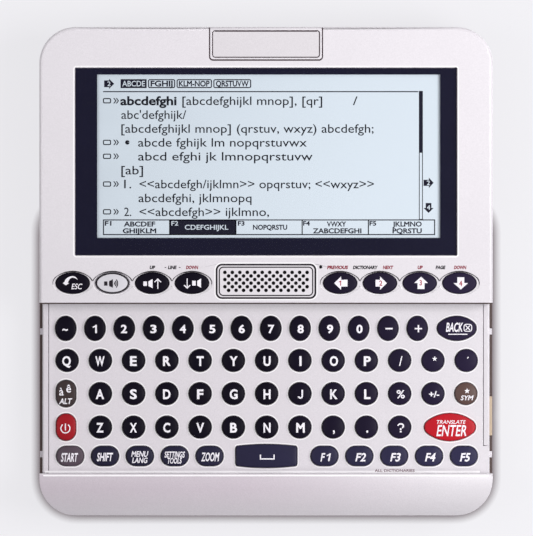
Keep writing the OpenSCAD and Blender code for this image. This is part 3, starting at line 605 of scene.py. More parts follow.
finishes = {
    "silver_shell": silver_paint("silver_shell_paint", linear(223, 218, 224)),
    "rail_plastic": silver_paint("rail_paint", linear(220, 215, 221), roughness=0.38),
    "badge_metal": silver_paint("badge_plate_paint", linear(216, 211, 216), roughness=0.34),
    "dark_case": plastic("dark_case_plastic", linear(74, 57, 54), 0.55, grain=1700.0, depth=0.03),
    # The key plastics get a painted light ramp: their colour is painted brighter towards the right.
    "key_dark": key_plastic("key_dark_plastic", (15, 11, 24), 0.44, 0.06, fading=(0, 58, 4.4)),
    "key_red": key_plastic("key_red_plastic", (152, 12, 26), 0.44, fading=(-50, 45, 1.45)),
    "key_brown": key_plastic("key_brown_plastic", (84, 68, 76)),
    "key_silver": plastic("key_silver_plastic", linear(206, 203, 210), 0.4, depth=0.006),
    "tan_trim": plastic("tan_trim_plastic", linear(190, 170, 146), 0.42, grain=2100.0),
    "socket_black": plastic("socket_plastic", linear(38, 36, 40), 0.45),
    "chip_black": plastic("chip_plastic", linear(36, 36, 38), 0.6, grain=3000.0),
    "white_frame": plastic("frame_plastic", linear(236, 236, 238), 0.5),
    "speaker_black": plastic("speaker_cone", linear(34, 33, 36), 0.7, grain=1500.0, depth=0.03),
    "display_glass": plastic("display_glass_plate", linear(190, 200, 212), 0.2, depth=0.002),
}
print(len(finishes), "plastic and painted finishes")

# %% [markdown]
# ## Rubber, metal and glass
#
# The feet and key mats are silicone: matt, with a fine powdery texture. Screws and springs are bright
# steel with brushed lines. The window is a clear pane that shows only its gloss and faint wiping marks.

# %% Rubber, metal and glass
def rubber(name, colour, roughness=0.8):
    """Silicone rubber with a dusty bloom."""
    material, tree, shader = new_material(name, Specular_IOR_Level=0.3)
    texture = place(tree, "moulded_grain", Grain=1400.0)
    marks = place(tree, "handling", Patches=120.0)
    feed(shader, Base_Color=blend(tree, texture["Mottle"], shaded(colour, 0.88), shaded(colour, 1.15)),
         Roughness=spread(tree, marks["Smudge"], 0, 1, roughness - 0.12, roughness),
         Normal=bump(tree, texture["Height"], 0.03))
    return material


def metal(name, colour, roughness, lines=60.0):
    """Bare metal with brushed lines and small scratches."""
    material, tree, shader = new_material(name, Metallic=1.0)
    texture = place(tree, "brushed", Lines=lines)
    marks = place(tree, "handling", Patches=150.0)
    streaked = blend(tree, texture["Streak"], shaded(colour, 0.86), shaded(colour, 1.08))
    feed(shader, Base_Color=blend(tree, partly(tree, marks["Scratch"], 0.5), streaked, shaded(colour, 1.3)),
         Roughness=spread(tree, texture["Streak"], 0, 1, roughness - 0.06, roughness + 0.08),
         Normal=bump(tree, texture["Height"], 0.004))
    return material


def tinted_glass(name, colour, alpha, roughness):
    """A thin clear pane: mostly see-through, with its gloss and faint wiping marks."""
    material, tree, shader = new_material(name, Base_Color=colour, Alpha=alpha, Specular_IOR_Level=0.2)
    marks = place(tree, "handling", Patches=30.0)
    feed(shader, Roughness=spread(tree, marks["Smudge"], 0, 1, roughness, roughness + 0.07),
         Normal=bump(tree, marks["Smudge"], 0.0008))
    return material


finishes.update({
    "key_rubber": rubber("key_mat_rubber", linear(150, 150, 156)),
    "foot_rubber": rubber("foot_rubber_black", linear(44, 43, 46)),
    "screw_steel": metal("screw_steel", linear(176, 176, 180), 0.32),
    "spring_steel": metal("spring_steel", linear(206, 206, 208), 0.24),
    "channel_steel": metal("channel_steel", linear(182, 184, 188), 0.36, lines=40.0),
    "microphone_metal": metal("microphone_metal", linear(62, 61, 66), 0.35),
    "window_tint": tinted_glass("window_pane_clear", linear(20, 20, 28), 0.04, 0.05),
})
print(len(finishes), "finishes so far")

# %% [markdown]
# ### Circuit board, cells and flexible cable
#
# These three carry a pattern that follows the piece. The boards are green glass-fibre with copper
# tracks under the lacquer, drawn by a brick pattern whose mortar is the tracks. The cell's sleeve and
# the cable's copper strips are bands across X.

# %% Board, cell and cable finishes
def circuit_board(name):
    """Green lacquer over copper tracks and tinned pads."""
    material, tree, shader = new_material(name, Coat_Weight=0.5, Coat_Roughness=0.12)
    tracks = add_node(tree, "ShaderNodeTexBrick", offset=0.37, squash=0.6, squash_frequency=3)
    feed(tracks, Vector=object_place(tree), Scale=260, Mortar_Size=0.05, Color1=linear(26, 92, 56),
         Color2=linear(30, 101, 62), Mortar=linear(58, 138, 84))
    dots = feed(add_node(tree, "ShaderNodeTexVoronoi", feature="F1"), Vector=object_place(tree), Scale=190)
    pad = spread(tree, dots.outputs["Distance"], 0.13, 0.10)
    feed(shader, Base_Color=blend(tree, pad, tracks.outputs["Color"], linear(196, 198, 190)),
         Roughness=spread(tree, pad, 0, 1, 0.42, 0.25),
         Normal=bump(tree, math_node(tree, "ADD", tracks.outputs["Fac"], pad), 0.03))
    return material


def banded(name, pitch, bands, roughness):
    """Bands across X that repeat every pitch millimetres: bands are (position from 0 to 1, colour)."""
    material, tree, shader = new_material(name)
    repeats = math_node(tree, "FRACT", partly(tree, object_axis(tree, "X"), 1 / (pitch * MM)))
    ramp = feed(add_node(tree, "ShaderNodeValToRGB"), Fac=repeats)
    ramp.color_ramp.interpolation = "CONSTANT"
    while len(ramp.color_ramp.elements) < len(bands):
        ramp.color_ramp.elements.new(0.5)
    for element, (position, colour) in zip(ramp.color_ramp.elements, bands):
        element.position = position
        element.color = colour
    texture = place(tree, "moulded_grain", Grain=2600.0)
    dust = linear(60, 60, 64)
    feed(shader, Base_Color=blend(tree, partly(tree, texture["Mottle"], 0.25), ramp.outputs["Color"], dust),
         Roughness=spread(tree, texture["Mottle"], 0, 1, roughness - 0.05, roughness + 0.08),
         Normal=bump(tree, texture["Height"], 0.004))
    return material


sleeve_blue, sleeve_silver, sleeve_end = linear(52, 96, 170), linear(208, 209, 214), linear(40, 44, 60)
sleeve_bands = [(0.0, sleeve_blue), (0.16, sleeve_silver), (0.22, sleeve_blue), (0.9, sleeve_end)]
copper_bands = [(0.0, linear(196, 132, 58)), (0.55, linear(150, 92, 38))]
finishes.update({
    "circuit_board": circuit_board("board_lacquer"),
    "cell_wrap": banded("cell_sleeve", 46, sleeve_bands, 0.3),
    "flex_film": banded("flex_film", 0.8, copper_bands, 0.35),
})
print(len(finishes), "finishes cover every material slot")

# %% [markdown]
# ### Inks
#
# Legends are pad-printed: a thin, slightly raised layer of matt ink with a trace of unevenness. The
# same builder makes the white, black and red inks, the dark border behind the window and the dots of
# the liquid crystal.

# %% Ink finishes
def ink(name, colour, roughness=0.5, shine=0.5):
    """A printed layer with slightly uneven cover."""
    material, tree, shader = new_material(name, Specular_IOR_Level=shine)
    texture = place(tree, "moulded_grain", Grain=5000.0)
    feed(shader, Base_Color=blend(tree, texture["Mottle"], shaded(colour, 0.93), shaded(colour, 1.03)),
         Roughness=spread(tree, texture["Height"], 0.3, 0.7, roughness - 0.08, roughness + 0.08),
         Normal=bump(tree, texture["Height"], 0.003))
    return material


white_ink = ink("white_ink", linear(238, 234, 242))
black_ink = ink("black_ink", linear(30, 24, 32), 0.5, 0.2)
red_ink = ink("red_ink", linear(160, 44, 60))
caption_red = ink("caption_red", linear(134, 28, 50))
grey_ink = ink("grey_ink", linear(112, 78, 92))
border_ink = ink("border_ink", linear(23, 22, 44), 0.4, 0.1)
# The next four are painted light and shade: dark groove and parting-line shade, and bright highlight lines
# for rims and key holes.
groove_shade_ink = ink("groove_shade", linear(64, 50, 56), 0.6, 0.2)
edge_shade_ink = ink("parting_line_shade", linear(104, 92, 97), 0.6, 0.2)
rim_highlight_ink = ink("painted_highlight_rim", linear(253, 250, 253), 0.3)
lip_highlight_ink = ink("painted_lip_highlight", linear(252, 249, 252), 0.35)
dot_ink = ink("liquid_crystal_dark", linear(16, 19, 32), 0.5, 0.2)
solid_dot_ink = ink("liquid_crystal_solid", linear(20, 19, 40), 0.4, 0.2)
print("inks from", white_ink.name, "to", solid_dot_ink.name)

# %% [markdown]
# ## Dressing the solids
#
# Each solid arrives with one plain material, named after its slot. Swapping that material for the
# finish of the same name dresses every piece at once. The solids themselves stay as they are.

# %% Put the finishes on the nodes
slot_of = {}
for node, solid in frame["nodes"].items():
    for index, material in enumerate(solid.data.materials):
        slot_of.setdefault(node, material.name.split(".")[0])
        solid.data.materials[index] = finishes[material.name.split(".")[0]]
    smooth_faces(solid.data, 30)
print("dressed", len(slot_of), "nodes")

# %% [markdown]
# ## Softened shells
#
# No moulded edge is perfectly sharp: a rounding of a tenth or two of a millimetre catches the light and
# makes a case look real. The visible shells are copied, their triangles merged into flat faces, and a
# Bevel modifier rounds every edge that turns by more than about thirty degrees. A point that the bevel
# throws off the solid is put back on it.

# %% Soften the mouldings
def body_of(node):
    """The body that a node rides on."""
    return frame["nodes"][node]["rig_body"]


def softened(node, radius):
    """A copy of a solid with rounded edges, which then stands for it."""
    maker = merged(node)
    solid = BVHTree.FromBMesh(maker)
    bmesh.ops.dissolve_limit(maker, angle_limit=math.radians(0.5), verts=maker.verts, edges=maker.edges)
    holder = in_scene("holder", as_mesh(maker, node + "_soft"))
    rounding = holder.modifiers.new("rounded_edges", "BEVEL")
    rounding.width = radius * MM
    rounding.segments = 2
    rounding.limit_method = "ANGLE"
    rounding.angle_limit = math.radians(32)
    rounding.use_clamp_overlap = False
    rounding.miter_outer = "MITER_ARC"
    mesh = frozen(holder)
    low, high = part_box(node)
    for vert in mesh.vertices:
        nearest, _, _, gap = solid.find_nearest(vert.co)
        if gap > 0.6 * radius * MM:
            vert.co = nearest
        vert.co = [min(max(vert.co[axis], low[axis]), high[axis]) for axis in range(3)]
    mesh.update()
    smooth_faces(mesh, 50)
    for face in mesh.polygons:
        face.use_smooth = max(abs(part) for part in face.normal) < 0.999
    return add_piece(node + "_shell", mesh, body_of(node), slot_of[node], [node])


soft_edges = {"upper_case": 0.12, "screen_front_cover": 0.12, "lower_case": 0.12, "screen_rear_cover": 0.12,
              "battery_door": 0.15, "left_rail": 0.12, "right_rail": 0.12, "jack_bezel": 0.12}
for node, radius in soft_edges.items():
    shell = softened(node, radius)
    print(shell.name, "has", len(shell.data.polygons), "faces")

# %% [markdown]
# ## Repeating a piece with Geometry Nodes
#
# Keys of one row, screws and feet are the same piece again and again. One tree puts a sample piece on
# each given spot, turns it by a seeded random angle where that is wanted, realises the copies and gives
# them their finish. The helper runs the tree once and keeps the plain mesh.

# %% The copies tree
def new_tree(name, inputs):
    """A Geometry Nodes tree with named inputs and one geometry output."""
    tree = bpy.data.node_groups.new(name, "GeometryNodeTree")
    for socket_name, kind in inputs.items():
        tree.interface.new_socket(name=socket_name, in_out="INPUT", socket_type="NodeSocket" + kind)
    tree.interface.new_socket(name="Geometry", in_out="OUTPUT", socket_type="NodeSocketGeometry")
    return tree, tree.nodes.new("NodeGroupInput").outputs, tree.nodes.new("NodeGroupOutput")


def finish_tree(tree, geometry, finish, result):
    """Ends a tree: real copies, with their material."""
    real = feed(tree.nodes.new("GeometryNodeRealizeInstances"), Geometry=geometry)
    coloured = feed(tree.nodes.new("GeometryNodeSetMaterial"), Geometry=real.outputs["Geometry"],
                    Material=finish)
    feed(result, Geometry=coloured.outputs["Geometry"])


def grown(tree, name, spots=(), **values):
    """Runs a tree on these spots, in millimetres, and returns the plain mesh."""
    points = bpy.data.meshes.new(name)
    points.from_pydata([Vector(spot) * MM for spot in spots], [], [])
    carrier = in_scene(name, points)
    modifier = carrier.modifiers.new(tree.name, "NODES")
    modifier.node_group = tree
    for socket in tree.interface.items_tree:
        if socket.in_out == "INPUT" and socket.name in values:
            modifier[socket.identifier] = values[socket.name]
    return frozen(carrier)


def copies_tree():
    """Copies of a sample piece on the incoming points."""
    tree, given, result = new_tree("copies_on_spots", {
        "Spots": "Geometry", "Sample": "Object", "Largest_Turn": "Float", "Seed": "Int",
        "Finish": "Material"})
    points = feed(tree.nodes.new("GeometryNodeMeshToPoints"), Mesh=given["Spots"])
    sample = feed(tree.nodes.new("GeometryNodeObjectInfo"), Object=given["Sample"])
    turn = feed(add_node(tree, "FunctionNodeRandomValue", data_type="FLOAT"), Seed=given["Seed"])
    plug(typed(turn.inputs, "Max", "VALUE"), given["Largest_Turn"])
    angles = feed(tree.nodes.new("ShaderNodeCombineXYZ"), Z=typed(turn.outputs, "Value", "VALUE"))
    instances = feed(tree.nodes.new("GeometryNodeInstanceOnPoints"), Points=points.outputs["Points"],
                     Instance=sample.outputs["Geometry"], Rotation=angles.outputs["Vector"])
    finish_tree(tree, instances.outputs["Instances"], given["Finish"], result)
    return tree


copies = copies_tree()


def copies_of(sample_mesh, name, spots, finish, largest_turn=0.0, seed=0):
    """The sample piece on each spot, as one mesh."""
    sample = in_scene("sample", sample_mesh)
    mesh = grown(copies, name, spots, Sample=sample, Largest_Turn=largest_turn, Seed=seed, Finish=finish)
    bpy.data.objects.remove(sample)
    return mesh


print("tree ready:", copies.name)

# %% [markdown]
# ## Key caps
#
# A cap stands through a hole in the deck. Below the deck a flange stops it from falling out, and on top
# it is crowned so that a fingertip centres itself. The profile runs from the flange up the wall, round
# a soft edge, and over the crown, which falls off with the square of the distance as the solid's does.

# %% Cap profile
flange = 0.4
flange_t = 0.5
print_room = 0.04
crown = 0.4
cap_edge = 0.38
crown_steps = (0.88, 0.72, 0.54, 0.36, 0.18, 0.04)


def crown_height(top, half):
    """Height of the crowned top above a point, given from the key's centre."""
    return lambda x, y: top - crown * (x * x + y * y) / (half * half)


def cap_mesh(name, outline, low, surface):
    """One cap: flange, wall, rounded edge and crown. Heights are absolute, the place is the origin."""
    rings = [ring(outline, grow, z) for grow, z in (
        (flange, low), (flange, low + flange_t), (0, low + flange_t))]
    for c, s in quarter(5):
        flat = ring(outline, -cap_edge * (1 - c), 0)
        rings.append([(x, y, surface(x, y) - cap_edge * (1 - s)) for x, y, _ in flat])
    for scale in crown_steps:
        flat = [(x * scale, y * scale) for x, y, _ in ring(outline, -cap_edge, 0)]
        rings.append([(x, y, surface(x, y)) for x, y in flat])
    return mesh_from(skin(rings), name, 50)


print("cap edge radius", cap_edge, "mm")

# %% [markdown]
# ### Rows of keys
#
# Five rows share a pitch, and each node holds the part of a row on one side. The spots and the sizes
# are read from the solids' boxes, so the caps can't drift from the holes. Each part of a row is grown by
# the copies tree.

# %% Key rows and single keys
space_end = 5.4
outline_of = {
    "number": lambda w, l: oval(w / 2, l / 2),
    "round": lambda w, l: ellipse(w / 2, l / 2, 44),
    "stadium": lambda w, l: rounded(w, l, min(w, l) / 2 - 0.01),
    "barrel": lambda w, l: barrel(w, l, space_end),
    "ellipse": lambda w, l: ellipse(w / 2, l / 2),
}
shape_names = {
    "number": "number_keys_left number_keys_right back_key enter_key",
    "round": "letter_keys_left letter_keys_right home_keys_left home_keys_right low_keys_left low_keys_right "
             "symbol_key",
    "barrel": "space_key",
    "ellipse": "escape_key speak_key volume_up_key volume_down_key previous_key next_key page_up_key "
               "page_down_key",
}
key_shapes = {node: kind for kind, names in shape_names.items() for node in names.split()}
function_nodes = shape_names["ellipse"].split()
key_nodes = [name for name in frame["nodes"] if name.endswith("_key") or "_keys_" in name]

# Painted light: the navy keys' colour is painted brighter towards the right.
navy = key_plastic("key_navy_plastic", (30, 28, 49), 0.44, 0.12, fading=(-45, 58, 2.1))
navy_nodes = "space_key shift_key menu_key settings_key zoom_key f1_key f2_key f3_key f4_key f5_key"
own_tints = dict.fromkeys(navy_nodes.split(), navy)
for node, tint in (("alt_key", (56, 44, 45)), ("symbol_key", (90, 68, 64)), ("start_key", (80, 67, 78))):
    own_tints[node] = key_plastic(node + "_plastic", tint)

keys = {}
for node in key_nodes:
    boxes = solids_of(node)
    low, high = boxes[0]
    width, length = high.x - low.x - 2 * flange, high.y - low.y - 2 * flange
    outline = outline_of[key_shapes.get(node, "stadium")](width, length)
    surface = crown_height(high.z - print_room, max(width, length) / 2)
    spots = centres_of(boxes)
    finish = own_tints.get(node, finishes[slot_of[node]])
    caps = copies_of(cap_mesh("cap", outline, low.z, surface), node + "_caps", spots, finish)
    add_piece(node + "_caps", caps, body_of(node), slot_of[node], [node])
    keys[node] = (spots, surface, outline)
print(len(keys), "key nodes,", sum(len(spots) for spots, _, _ in keys.values()), "caps")

# %% [markdown]
# ### Rubber domes under the keys
#
# Under every key a silicone dome holds the cap up and collapses when it is pressed. The domes of one key
# node are one piece that rides on the body of its mat, and the thin sheet that joins them is a copy of
# the solid mat, cut off above its upper face.

# %% Sheets and domes
sheet_t = 0.4
dome_gap = 0.005
dome_profile = ((2.25, 0.0), (2.1, 0.12), (1.86, 0.34), (1.66, 0.6), (1.5, 0.85), (1.38, 0.96), (1.15, 1.0))


def whole(maker):
    """All parts of a bmesh, as the cutting tools want them."""
    return maker.verts[:] + maker.edges[:] + maker.faces[:]


def sheet_of(node):
    """The flat sheet of a mat, with its cuts closed."""
    maker = merged(node)
    cut_z = node_box(node)[0].z + sheet_t + 0.01
    bmesh.ops.bisect_plane(maker, geom=whole(maker), dist=1e-7, clear_outer=True, plane_co=(0, 0, cut_z * MM),
                           plane_no=(0, 0, 1))
    bmesh.ops.holes_fill(maker, edges=[edge for edge in maker.edges if edge.is_boundary], sides=0)
    return smooth_faces(as_mesh(maker, node + "_sheet"), 30)


for mat in ("keyboard_mat", "function_key_mat"):
    add_piece(mat + "_sheet", sheet_of(mat), body_of(mat), "key_rubber", [mat])
for node, (spots, _, _) in keys.items():
    mat = "function_key_mat" if node in function_nodes else "keyboard_mat"
    dome_low, dome_high = node_box(mat)[0].z + sheet_t, node_box(node)[0].z - dome_gap
    height = dome_high - dome_low
    dome = turned("dome", [(radius, dome_low + height * share) for radius, share in dome_profile], 24, 50)
    domes = copies_of(dome, node + "_domes", spots, finishes["key_rubber"])
    piece = add_piece(node + "_domes", domes, body_of(mat), "key_rubber")
    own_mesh(piece)

# %% [markdown]
# ### The flexible cable
#
# A copper-striped film joins the circuits of the two halves through a slot in the deck. It lies folded in
# the low gap between them. One half of the fold rides on the base; the other half is a plain piece set in
# place at rest, which rides on no body.

# %% Cable in two pieces
film_t = 0.14
corner = 0.35
upper_steps = 40


def film_mesh(name, path, half_width, columns=8):
    """A film of even thickness along a path of (y, z) points, as a closed mesh."""
    left_side, right_side = [], []
    for i, (y, z) in enumerate(path):
        before, after = path[max(i - 1, 0)], path[min(i + 1, len(path) - 1)]
        along_y, along_z = after[0] - before[0], after[1] - before[1]
        size = math.hypot(along_y, along_z)
        shift_y, shift_z = -along_z / size * film_t / 2, along_y / size * film_t / 2
        left_side.append((y + shift_y, z + shift_z))
        right_side.append((y - shift_y, z - shift_z))
    outline = left_side + right_side[::-1]
    maker = bmesh.new()
    loops = [[maker.verts.new((half_width * (2 * column / columns - 1), y, z)) for y, z in outline]
             for column in range(columns + 1)]
    for first, second in zip(loops, loops[1:]):
        ladder(maker, first, second)
    for loop in (loops[0], loops[-1]):
        for i in range(len(path) - 1):
            maker.faces.new((loop[i], loop[i + 1], loop[-2 - i], loop[-1 - i]))
    bmesh.ops.recalc_face_normals(maker, faces=maker.faces)
    return mesh_from(maker, name, 40)


cable_low, cable_high = node_box("ribbon_cable")
half_film = (cable_high.x - cable_low.x) / 2
cable_y = node_box("upper_case")[1].y - 3.35
fold_y = cable_y - 3.2
fold_low = node_box("left_rail")[1].z + 0.22
fold_high = node_box("screen_rear_cover")[0].z - 0.12
fold_r = (fold_high - fold_low) / 2
board_z = cable_low.z + 0.1
lower_path = [(cable_y - 12, board_z), (cable_y - corner, board_z), (cable_y - 0.1, board_z + 0.1),
              (cable_y, board_z + corner), (cable_y, fold_low - corner), (cable_y - 0.1, fold_low - 0.1),
              (cable_y - corner, fold_low)]
for step in range(13):
    angle = -math.pi / 2 - math.pi * step / 12
    lower_path.append((fold_y + fold_r * math.cos(angle), fold_low + fold_r + fold_r * math.sin(angle)))
upper_end = cable_high.y - 0.1
upper_run = upper_end - corner - fold_y
upper_path = [(fold_y + upper_run * step / upper_steps, fold_high) for step in range(upper_steps + 1)]
upper_path += [(upper_end - 0.1, fold_high + 0.1), (upper_end, fold_high + corner),
               (upper_end, cable_high.z - 0.05)]
add_piece("cable_fold_lower", film_mesh("cable_fold_lower", lower_path, half_film), "base", "flex_film",
          ["ribbon_cable"])
upper_film = finished("cable_run_upper", film_mesh("cable_run_upper", upper_path, half_film), "flex_film",
                      ["ribbon_cable"])
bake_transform(upper_film)
print("the fold is", round(2 * fold_r, 2), "mm high, and the film", round(2 * half_film, 1), "mm wide")

# %% [markdown]
# ## Printing on a curved top
#
# A legend is drawn flat, cut by a fine grid so that it can bend, and pressed onto the crowned cap: its
# top stands a few hundredths of a millimetre proud and its underside sits just inside the plastic, which
# makes it a closed thin solid. Words come from a text object with the built-in font, scaled to the cap
# height of the real print.

# %% Flat drawings
font_cap = 0.682
font_stretch = 0.86
up = Vector((0, 0, 1))


def thickened(maker, amount):
    """Moves every outline point of a flat drawing outwards, which makes a letter bolder."""
    shifts = {}
    for vert in maker.verts:
        outwards = Vector()
        for edge in vert.link_edges:
            if len(edge.link_faces) == 1:
                first, second = (other.co for other in edge.verts)
                side = (second - first).cross(up).normalized()
                inside = edge.link_faces[0].calc_center_median() - (first + second) / 2
                outwards += -side if side.dot(inside) > 0 else side
        if outwards.length > 0.2:
            shifts[vert] = outwards.normalized() * amount * min(2 / outwards.length, 1.6)
    for vert, shift in shifts.items():
        vert.co += shift


def word(text, cap, width=None, weight=0.022, lean=0.0):
    """A word as flat faces, centred on X and on its cap height, and fitted to a width if one is given."""
    curve = bpy.data.curves.new("word", "FONT")
    curve.body = text
    curve.resolution_u = 3
    mesh = frozen(in_scene("word", curve))
    bpy.data.curves.remove(curve)
    maker = bmesh.new()
    maker.from_mesh(mesh)
    bpy.data.meshes.remove(mesh)
    bmesh.ops.remove_doubles(maker, verts=maker.verts, dist=1e-5)
    thickened(maker, weight)
    scale = cap / font_cap
    for vert in maker.verts:
        vert.co.y = (vert.co.y - font_cap / 2) * scale
        vert.co.x = vert.co.x * scale * font_stretch + vert.co.y * lean
    left, right = min(v.co.x for v in maker.verts), max(v.co.x for v in maker.verts)
    fit = width / (right - left) if width else 1.0
    for vert in maker.verts:
        vert.co.x = (vert.co.x - (left + right) / 2) * fit
    return maker


def shape(*outlines):
    """Flat faces from outlines of points, each a simple polygon."""
    maker = bmesh.new()
    for points in outlines:
        face = maker.faces.new([maker.verts.new((x, y, 0)) for x, y in points])
        face.normal_update()
        if face.normal.z < 0:
            face.normal_flip()
    bmesh.ops.triangulate(maker, faces=maker.faces)
    return maker


print("the word helper draws", len(word("OK", 2.9).faces), "faces for two letters")

# %% [markdown]
# ### Outlines for signs
#
# Icons, frames and brackets are made of rectangles, curved bands and closed lines. A closed line is
# drawn as two halves, so that each is a simple polygon.

# %% Outlines for signs
def rectangle(x0, x1, y0, y1):
    """Corner points of a rectangle."""
    return [(x0, y0), (x1, y0), (x1, y1), (x0, y1)]


def moved(points, dx, dy):
    """The same outline somewhere else."""
    return [(x + dx, y + dy) for x, y in points]


def band(radius_x, radius_y, start, end, thickness, centre=(0, 0), steps=24):
    """A curved band between two angles in degrees, as one outline."""
    angles = [math.radians(start + (end - start) * i / steps) for i in range(steps + 1)]
    outer = [(radius_x * math.cos(a), radius_y * math.sin(a)) for a in angles]
    inner = [((radius_x - thickness) * math.cos(a), (radius_y - thickness) * math.sin(a)) for a in angles]
    return moved(outer + inner[::-1], *centre)


def halves(outer, inner):
    """The closed line between two outlines with as many points, as two half outlines."""
    count = len(outer)
    parts = []
    for start in (0, count // 2):
        picks = [(start + i) % count for i in range(count // 2 + 1)]
        parts.append([outer[i][:2] for i in picks] + [inner[i][:2] for i in reversed(picks)])
    return parts


def frame_line(width, length, radius, line, centre=(0, 0), steps=32):
    """A closed rounded frame as two half outlines."""
    outer = rounded(width, length, radius, steps)
    inner = rounded(width - 2 * line, length - 2 * line, max(radius - line, 0.02), steps)
    return [moved(points, *centre) for points in halves(outer, inner)]


def star(radius, centre, tips=5):
    """A star with this many tips."""
    points = []
    for i in range(2 * tips):
        reach = radius if i % 2 == 0 else radius * 0.45
        angle = math.pi * i / tips
        points.append((reach * math.sin(angle), reach * math.cos(angle)))
    return moved(points, *centre)


print("a star has", len(star(1, (0, 0))), "points")

# %% [markdown]
# ### Pressing a drawing onto a surface
#
# The grid cut is what lets a flat letter follow the crown. Every boundary edge then gets a side wall,
# so the print is closed all round. On a level face no grid is needed.

# %% Press helpers
print_proud = 0.018
print_sunk = 0.03
line_proud = 0.006


def cut_by_grid(maker, step):
    """Cuts flat faces by straight lines, step millimetres apart, in both directions."""
    for axis, across in ((0, Vector((1, 0, 0))), (1, Vector((0, 1, 0)))):
        places = [v.co[axis] for v in maker.verts]
        line = math.ceil(min(places) / step) * step
        while line < max(places):
            bmesh.ops.bisect_plane(maker, geom=whole(maker), dist=1e-4, plane_co=across * line,
                                   plane_no=across)
            line += step


def pressed(maker, surface, spot, grid=0.7, proud=print_proud, sunk=print_sunk, at=(0, 0)):
    """A flat drawing as a thin closed print on a surface, moved to its spot, in millimetres."""
    bmesh.ops.translate(maker, verts=maker.verts, vec=Vector((*at, 0)))
    if grid:
        cut_by_grid(maker, grid)
    tops = maker.verts[:]
    faces = maker.faces[:]
    heights = {vert: surface(vert.co.x, vert.co.y) for vert in tops}
    lower = {vert: maker.verts.new((vert.co.x, vert.co.y, heights[vert] - sunk)) for vert in tops}
    for vert in tops:
        vert.co.z = heights[vert] + proud
    walls = [(loop.link_loop_next.vert, loop.vert) for face in faces for loop in face.loops
             if len(loop.edge.link_faces) == 1]
    for face in faces:
        maker.faces.new([lower[vert] for vert in reversed(face.verts)])
    for first, second in walls:
        maker.faces.new((first, second, lower[second], lower[first]))
    bmesh.ops.translate(maker, verts=maker.verts, vec=Vector((spot[0], spot[1], 0)))
    return mesh_from(maker, "print", 40)


def flat_print(drawing, z, spot=(0, 0), proud=line_proud, sunk=print_sunk, at=(0, 0)):
    """A flat drawing as a thin closed print on a level face."""
    return pressed(drawing, lambda x, y: z, spot, 0, proud, sunk, at)


def print_on_keys(node, entries, name="legends", ink_used=white_ink, proud=print_proud):
    """Prints on the keys of a node. Entries are (key number, flat drawing, shift in x, shift in y)."""
    spots, surface, _ = keys[node]
    prints = [pressed(drawing, surface, spots[key], proud=proud, at=(dx, dy))
              for key, drawing, dx, dy in entries]
    return print_piece(node + "_" + name, prints, body_of(node), ink_used)


print("prints stand", print_proud, "mm proud")

# %% [markdown]
# ## Legends of the keyboard
#
# The rows of letters and numbers share one cap height, so they are written as plain strings. A few signs
# are drawn from outlines, because the built-in font has them in another form. All legends of one key
# node are joined into one print that rides with that node's body.

# %% Letters and numbers
legend_lift = -0.17
digit_width = 1.76
letter_width = 2.0
legend_weight = 0.034


def legend_shift(x):
    """The print runs a little further to the right across the board than the keys do."""
    return 0.11 + 0.0048 * x


def numeral_one(cap, lean=0.0):
    """The figure 1 with its flag, which the built-in font lacks."""
    points = [(0.28, -0.5), (0.28, 0.5), (0.13, 0.5), (-0.02, 0.36), (-0.22, 0.27), (-0.22, 0.13),
              (0.08, 0.22), (0.08, -0.5)]
    return shape([((x + y * lean) * cap, y * cap) for x, y in points])


drawn_marks = {
    "-": [rectangle(-1.0, 1.0, -0.13, 0.31)],
    "+": [[(-1.02, -0.11), (-0.2, -0.11), (-0.2, -0.93), (0.2, -0.93), (0.2, -0.11), (1.02, -0.11),
           (1.02, 0.29), (0.2, 0.29), (0.2, 1.11), (-0.2, 1.11), (-0.2, 0.29), (-1.02, 0.29)]],
    "J": [rectangle(0.28, 0.72, -0.45, 1.26), band(0.75, 0.81, 192, 360, 0.43, (-0.03, -0.45))],
    "*": [star(0.75, (0.15, 0.62))],
    "'": [[(-0.2, 0.76), (0.02, 0.68), (0.38, 1.12), (0.12, 1.26)]],
    "?": [band(0.95, 0.8, 175, -60, 0.42, (0, 0.5)), rectangle(-0.22, 0.22, -0.62, -0.1),
          rectangle(-0.24, 0.24, -1.3, -0.86)],
}
mark_widths = {"W": 2.6, "M": 2.4, "Q": 2.45, "O": 2.35, "G": 2.25, "A": 2.35, "V": 2.25, "Y": 2.25,
               "R": 2.15, "K": 2.15, "D": 2.1, "I": 0.62, "E": 1.9, "F": 1.8, "L": 1.8, "%": 2.35}
mark_weights = {"/": 0.016, ",": 0.026, ".": 0.034, "%": 0.016, "~": 0.024}
row_marks = {
    "number_keys_left": ("~123456", 2.16), "number_keys_right": ("7890-+", 2.16),
    "letter_keys_left": ("QWERTY", 2.52), "letter_keys_right": ("UIOP/*'", 2.52),
    "home_keys_left": ("ASDFG", 2.52), "home_keys_right": ("HJKL%±", 2.52),
    "low_keys_left": ("ZXCVB", 2.52), "low_keys_right": ("NM,.?", 2.52),
}


def mark_drawing(mark, cap):
    """The legend of an ordinary key."""
    if mark == "1":
        return numeral_one(cap * 1.09)
    if mark == "±":
        return word("+/-", cap * 0.62, 2.9, 0.03)
    if mark in drawn_marks:
        return shape(*drawn_marks[mark])
    plain = digit_width if mark.isdigit() else letter_width if mark.isalpha() else None
    height = cap * 0.88 if mark == "%" else cap
    return word(mark, height, mark_widths.get(mark, plain), mark_weights.get(mark, legend_weight))


for node, (marks, cap) in row_marks.items():
    spots = keys[node][0]
    print_on_keys(node, [(key, mark_drawing(mark, cap), legend_shift(spots[key][0]), legend_lift)
                         for key, mark in enumerate(marks)])
print("printed", sum(len(marks) for marks, _ in row_marks.values()), "letters and numbers")

# %% [markdown]
# ### Word keys
#
# The word keys along the edges carry slanted condensed capitals, and two small upright letters. Each
# entry gives the word, its cap height, its printed width and its place in millimetres. Symbols such as
# the power ring, the space bracket and the boxed cross are drawn from simple outlines.

# %% Word keys
slant = 0.2
word_weight = 0.026
thin_weight = 0.014
small_weight = 0.012


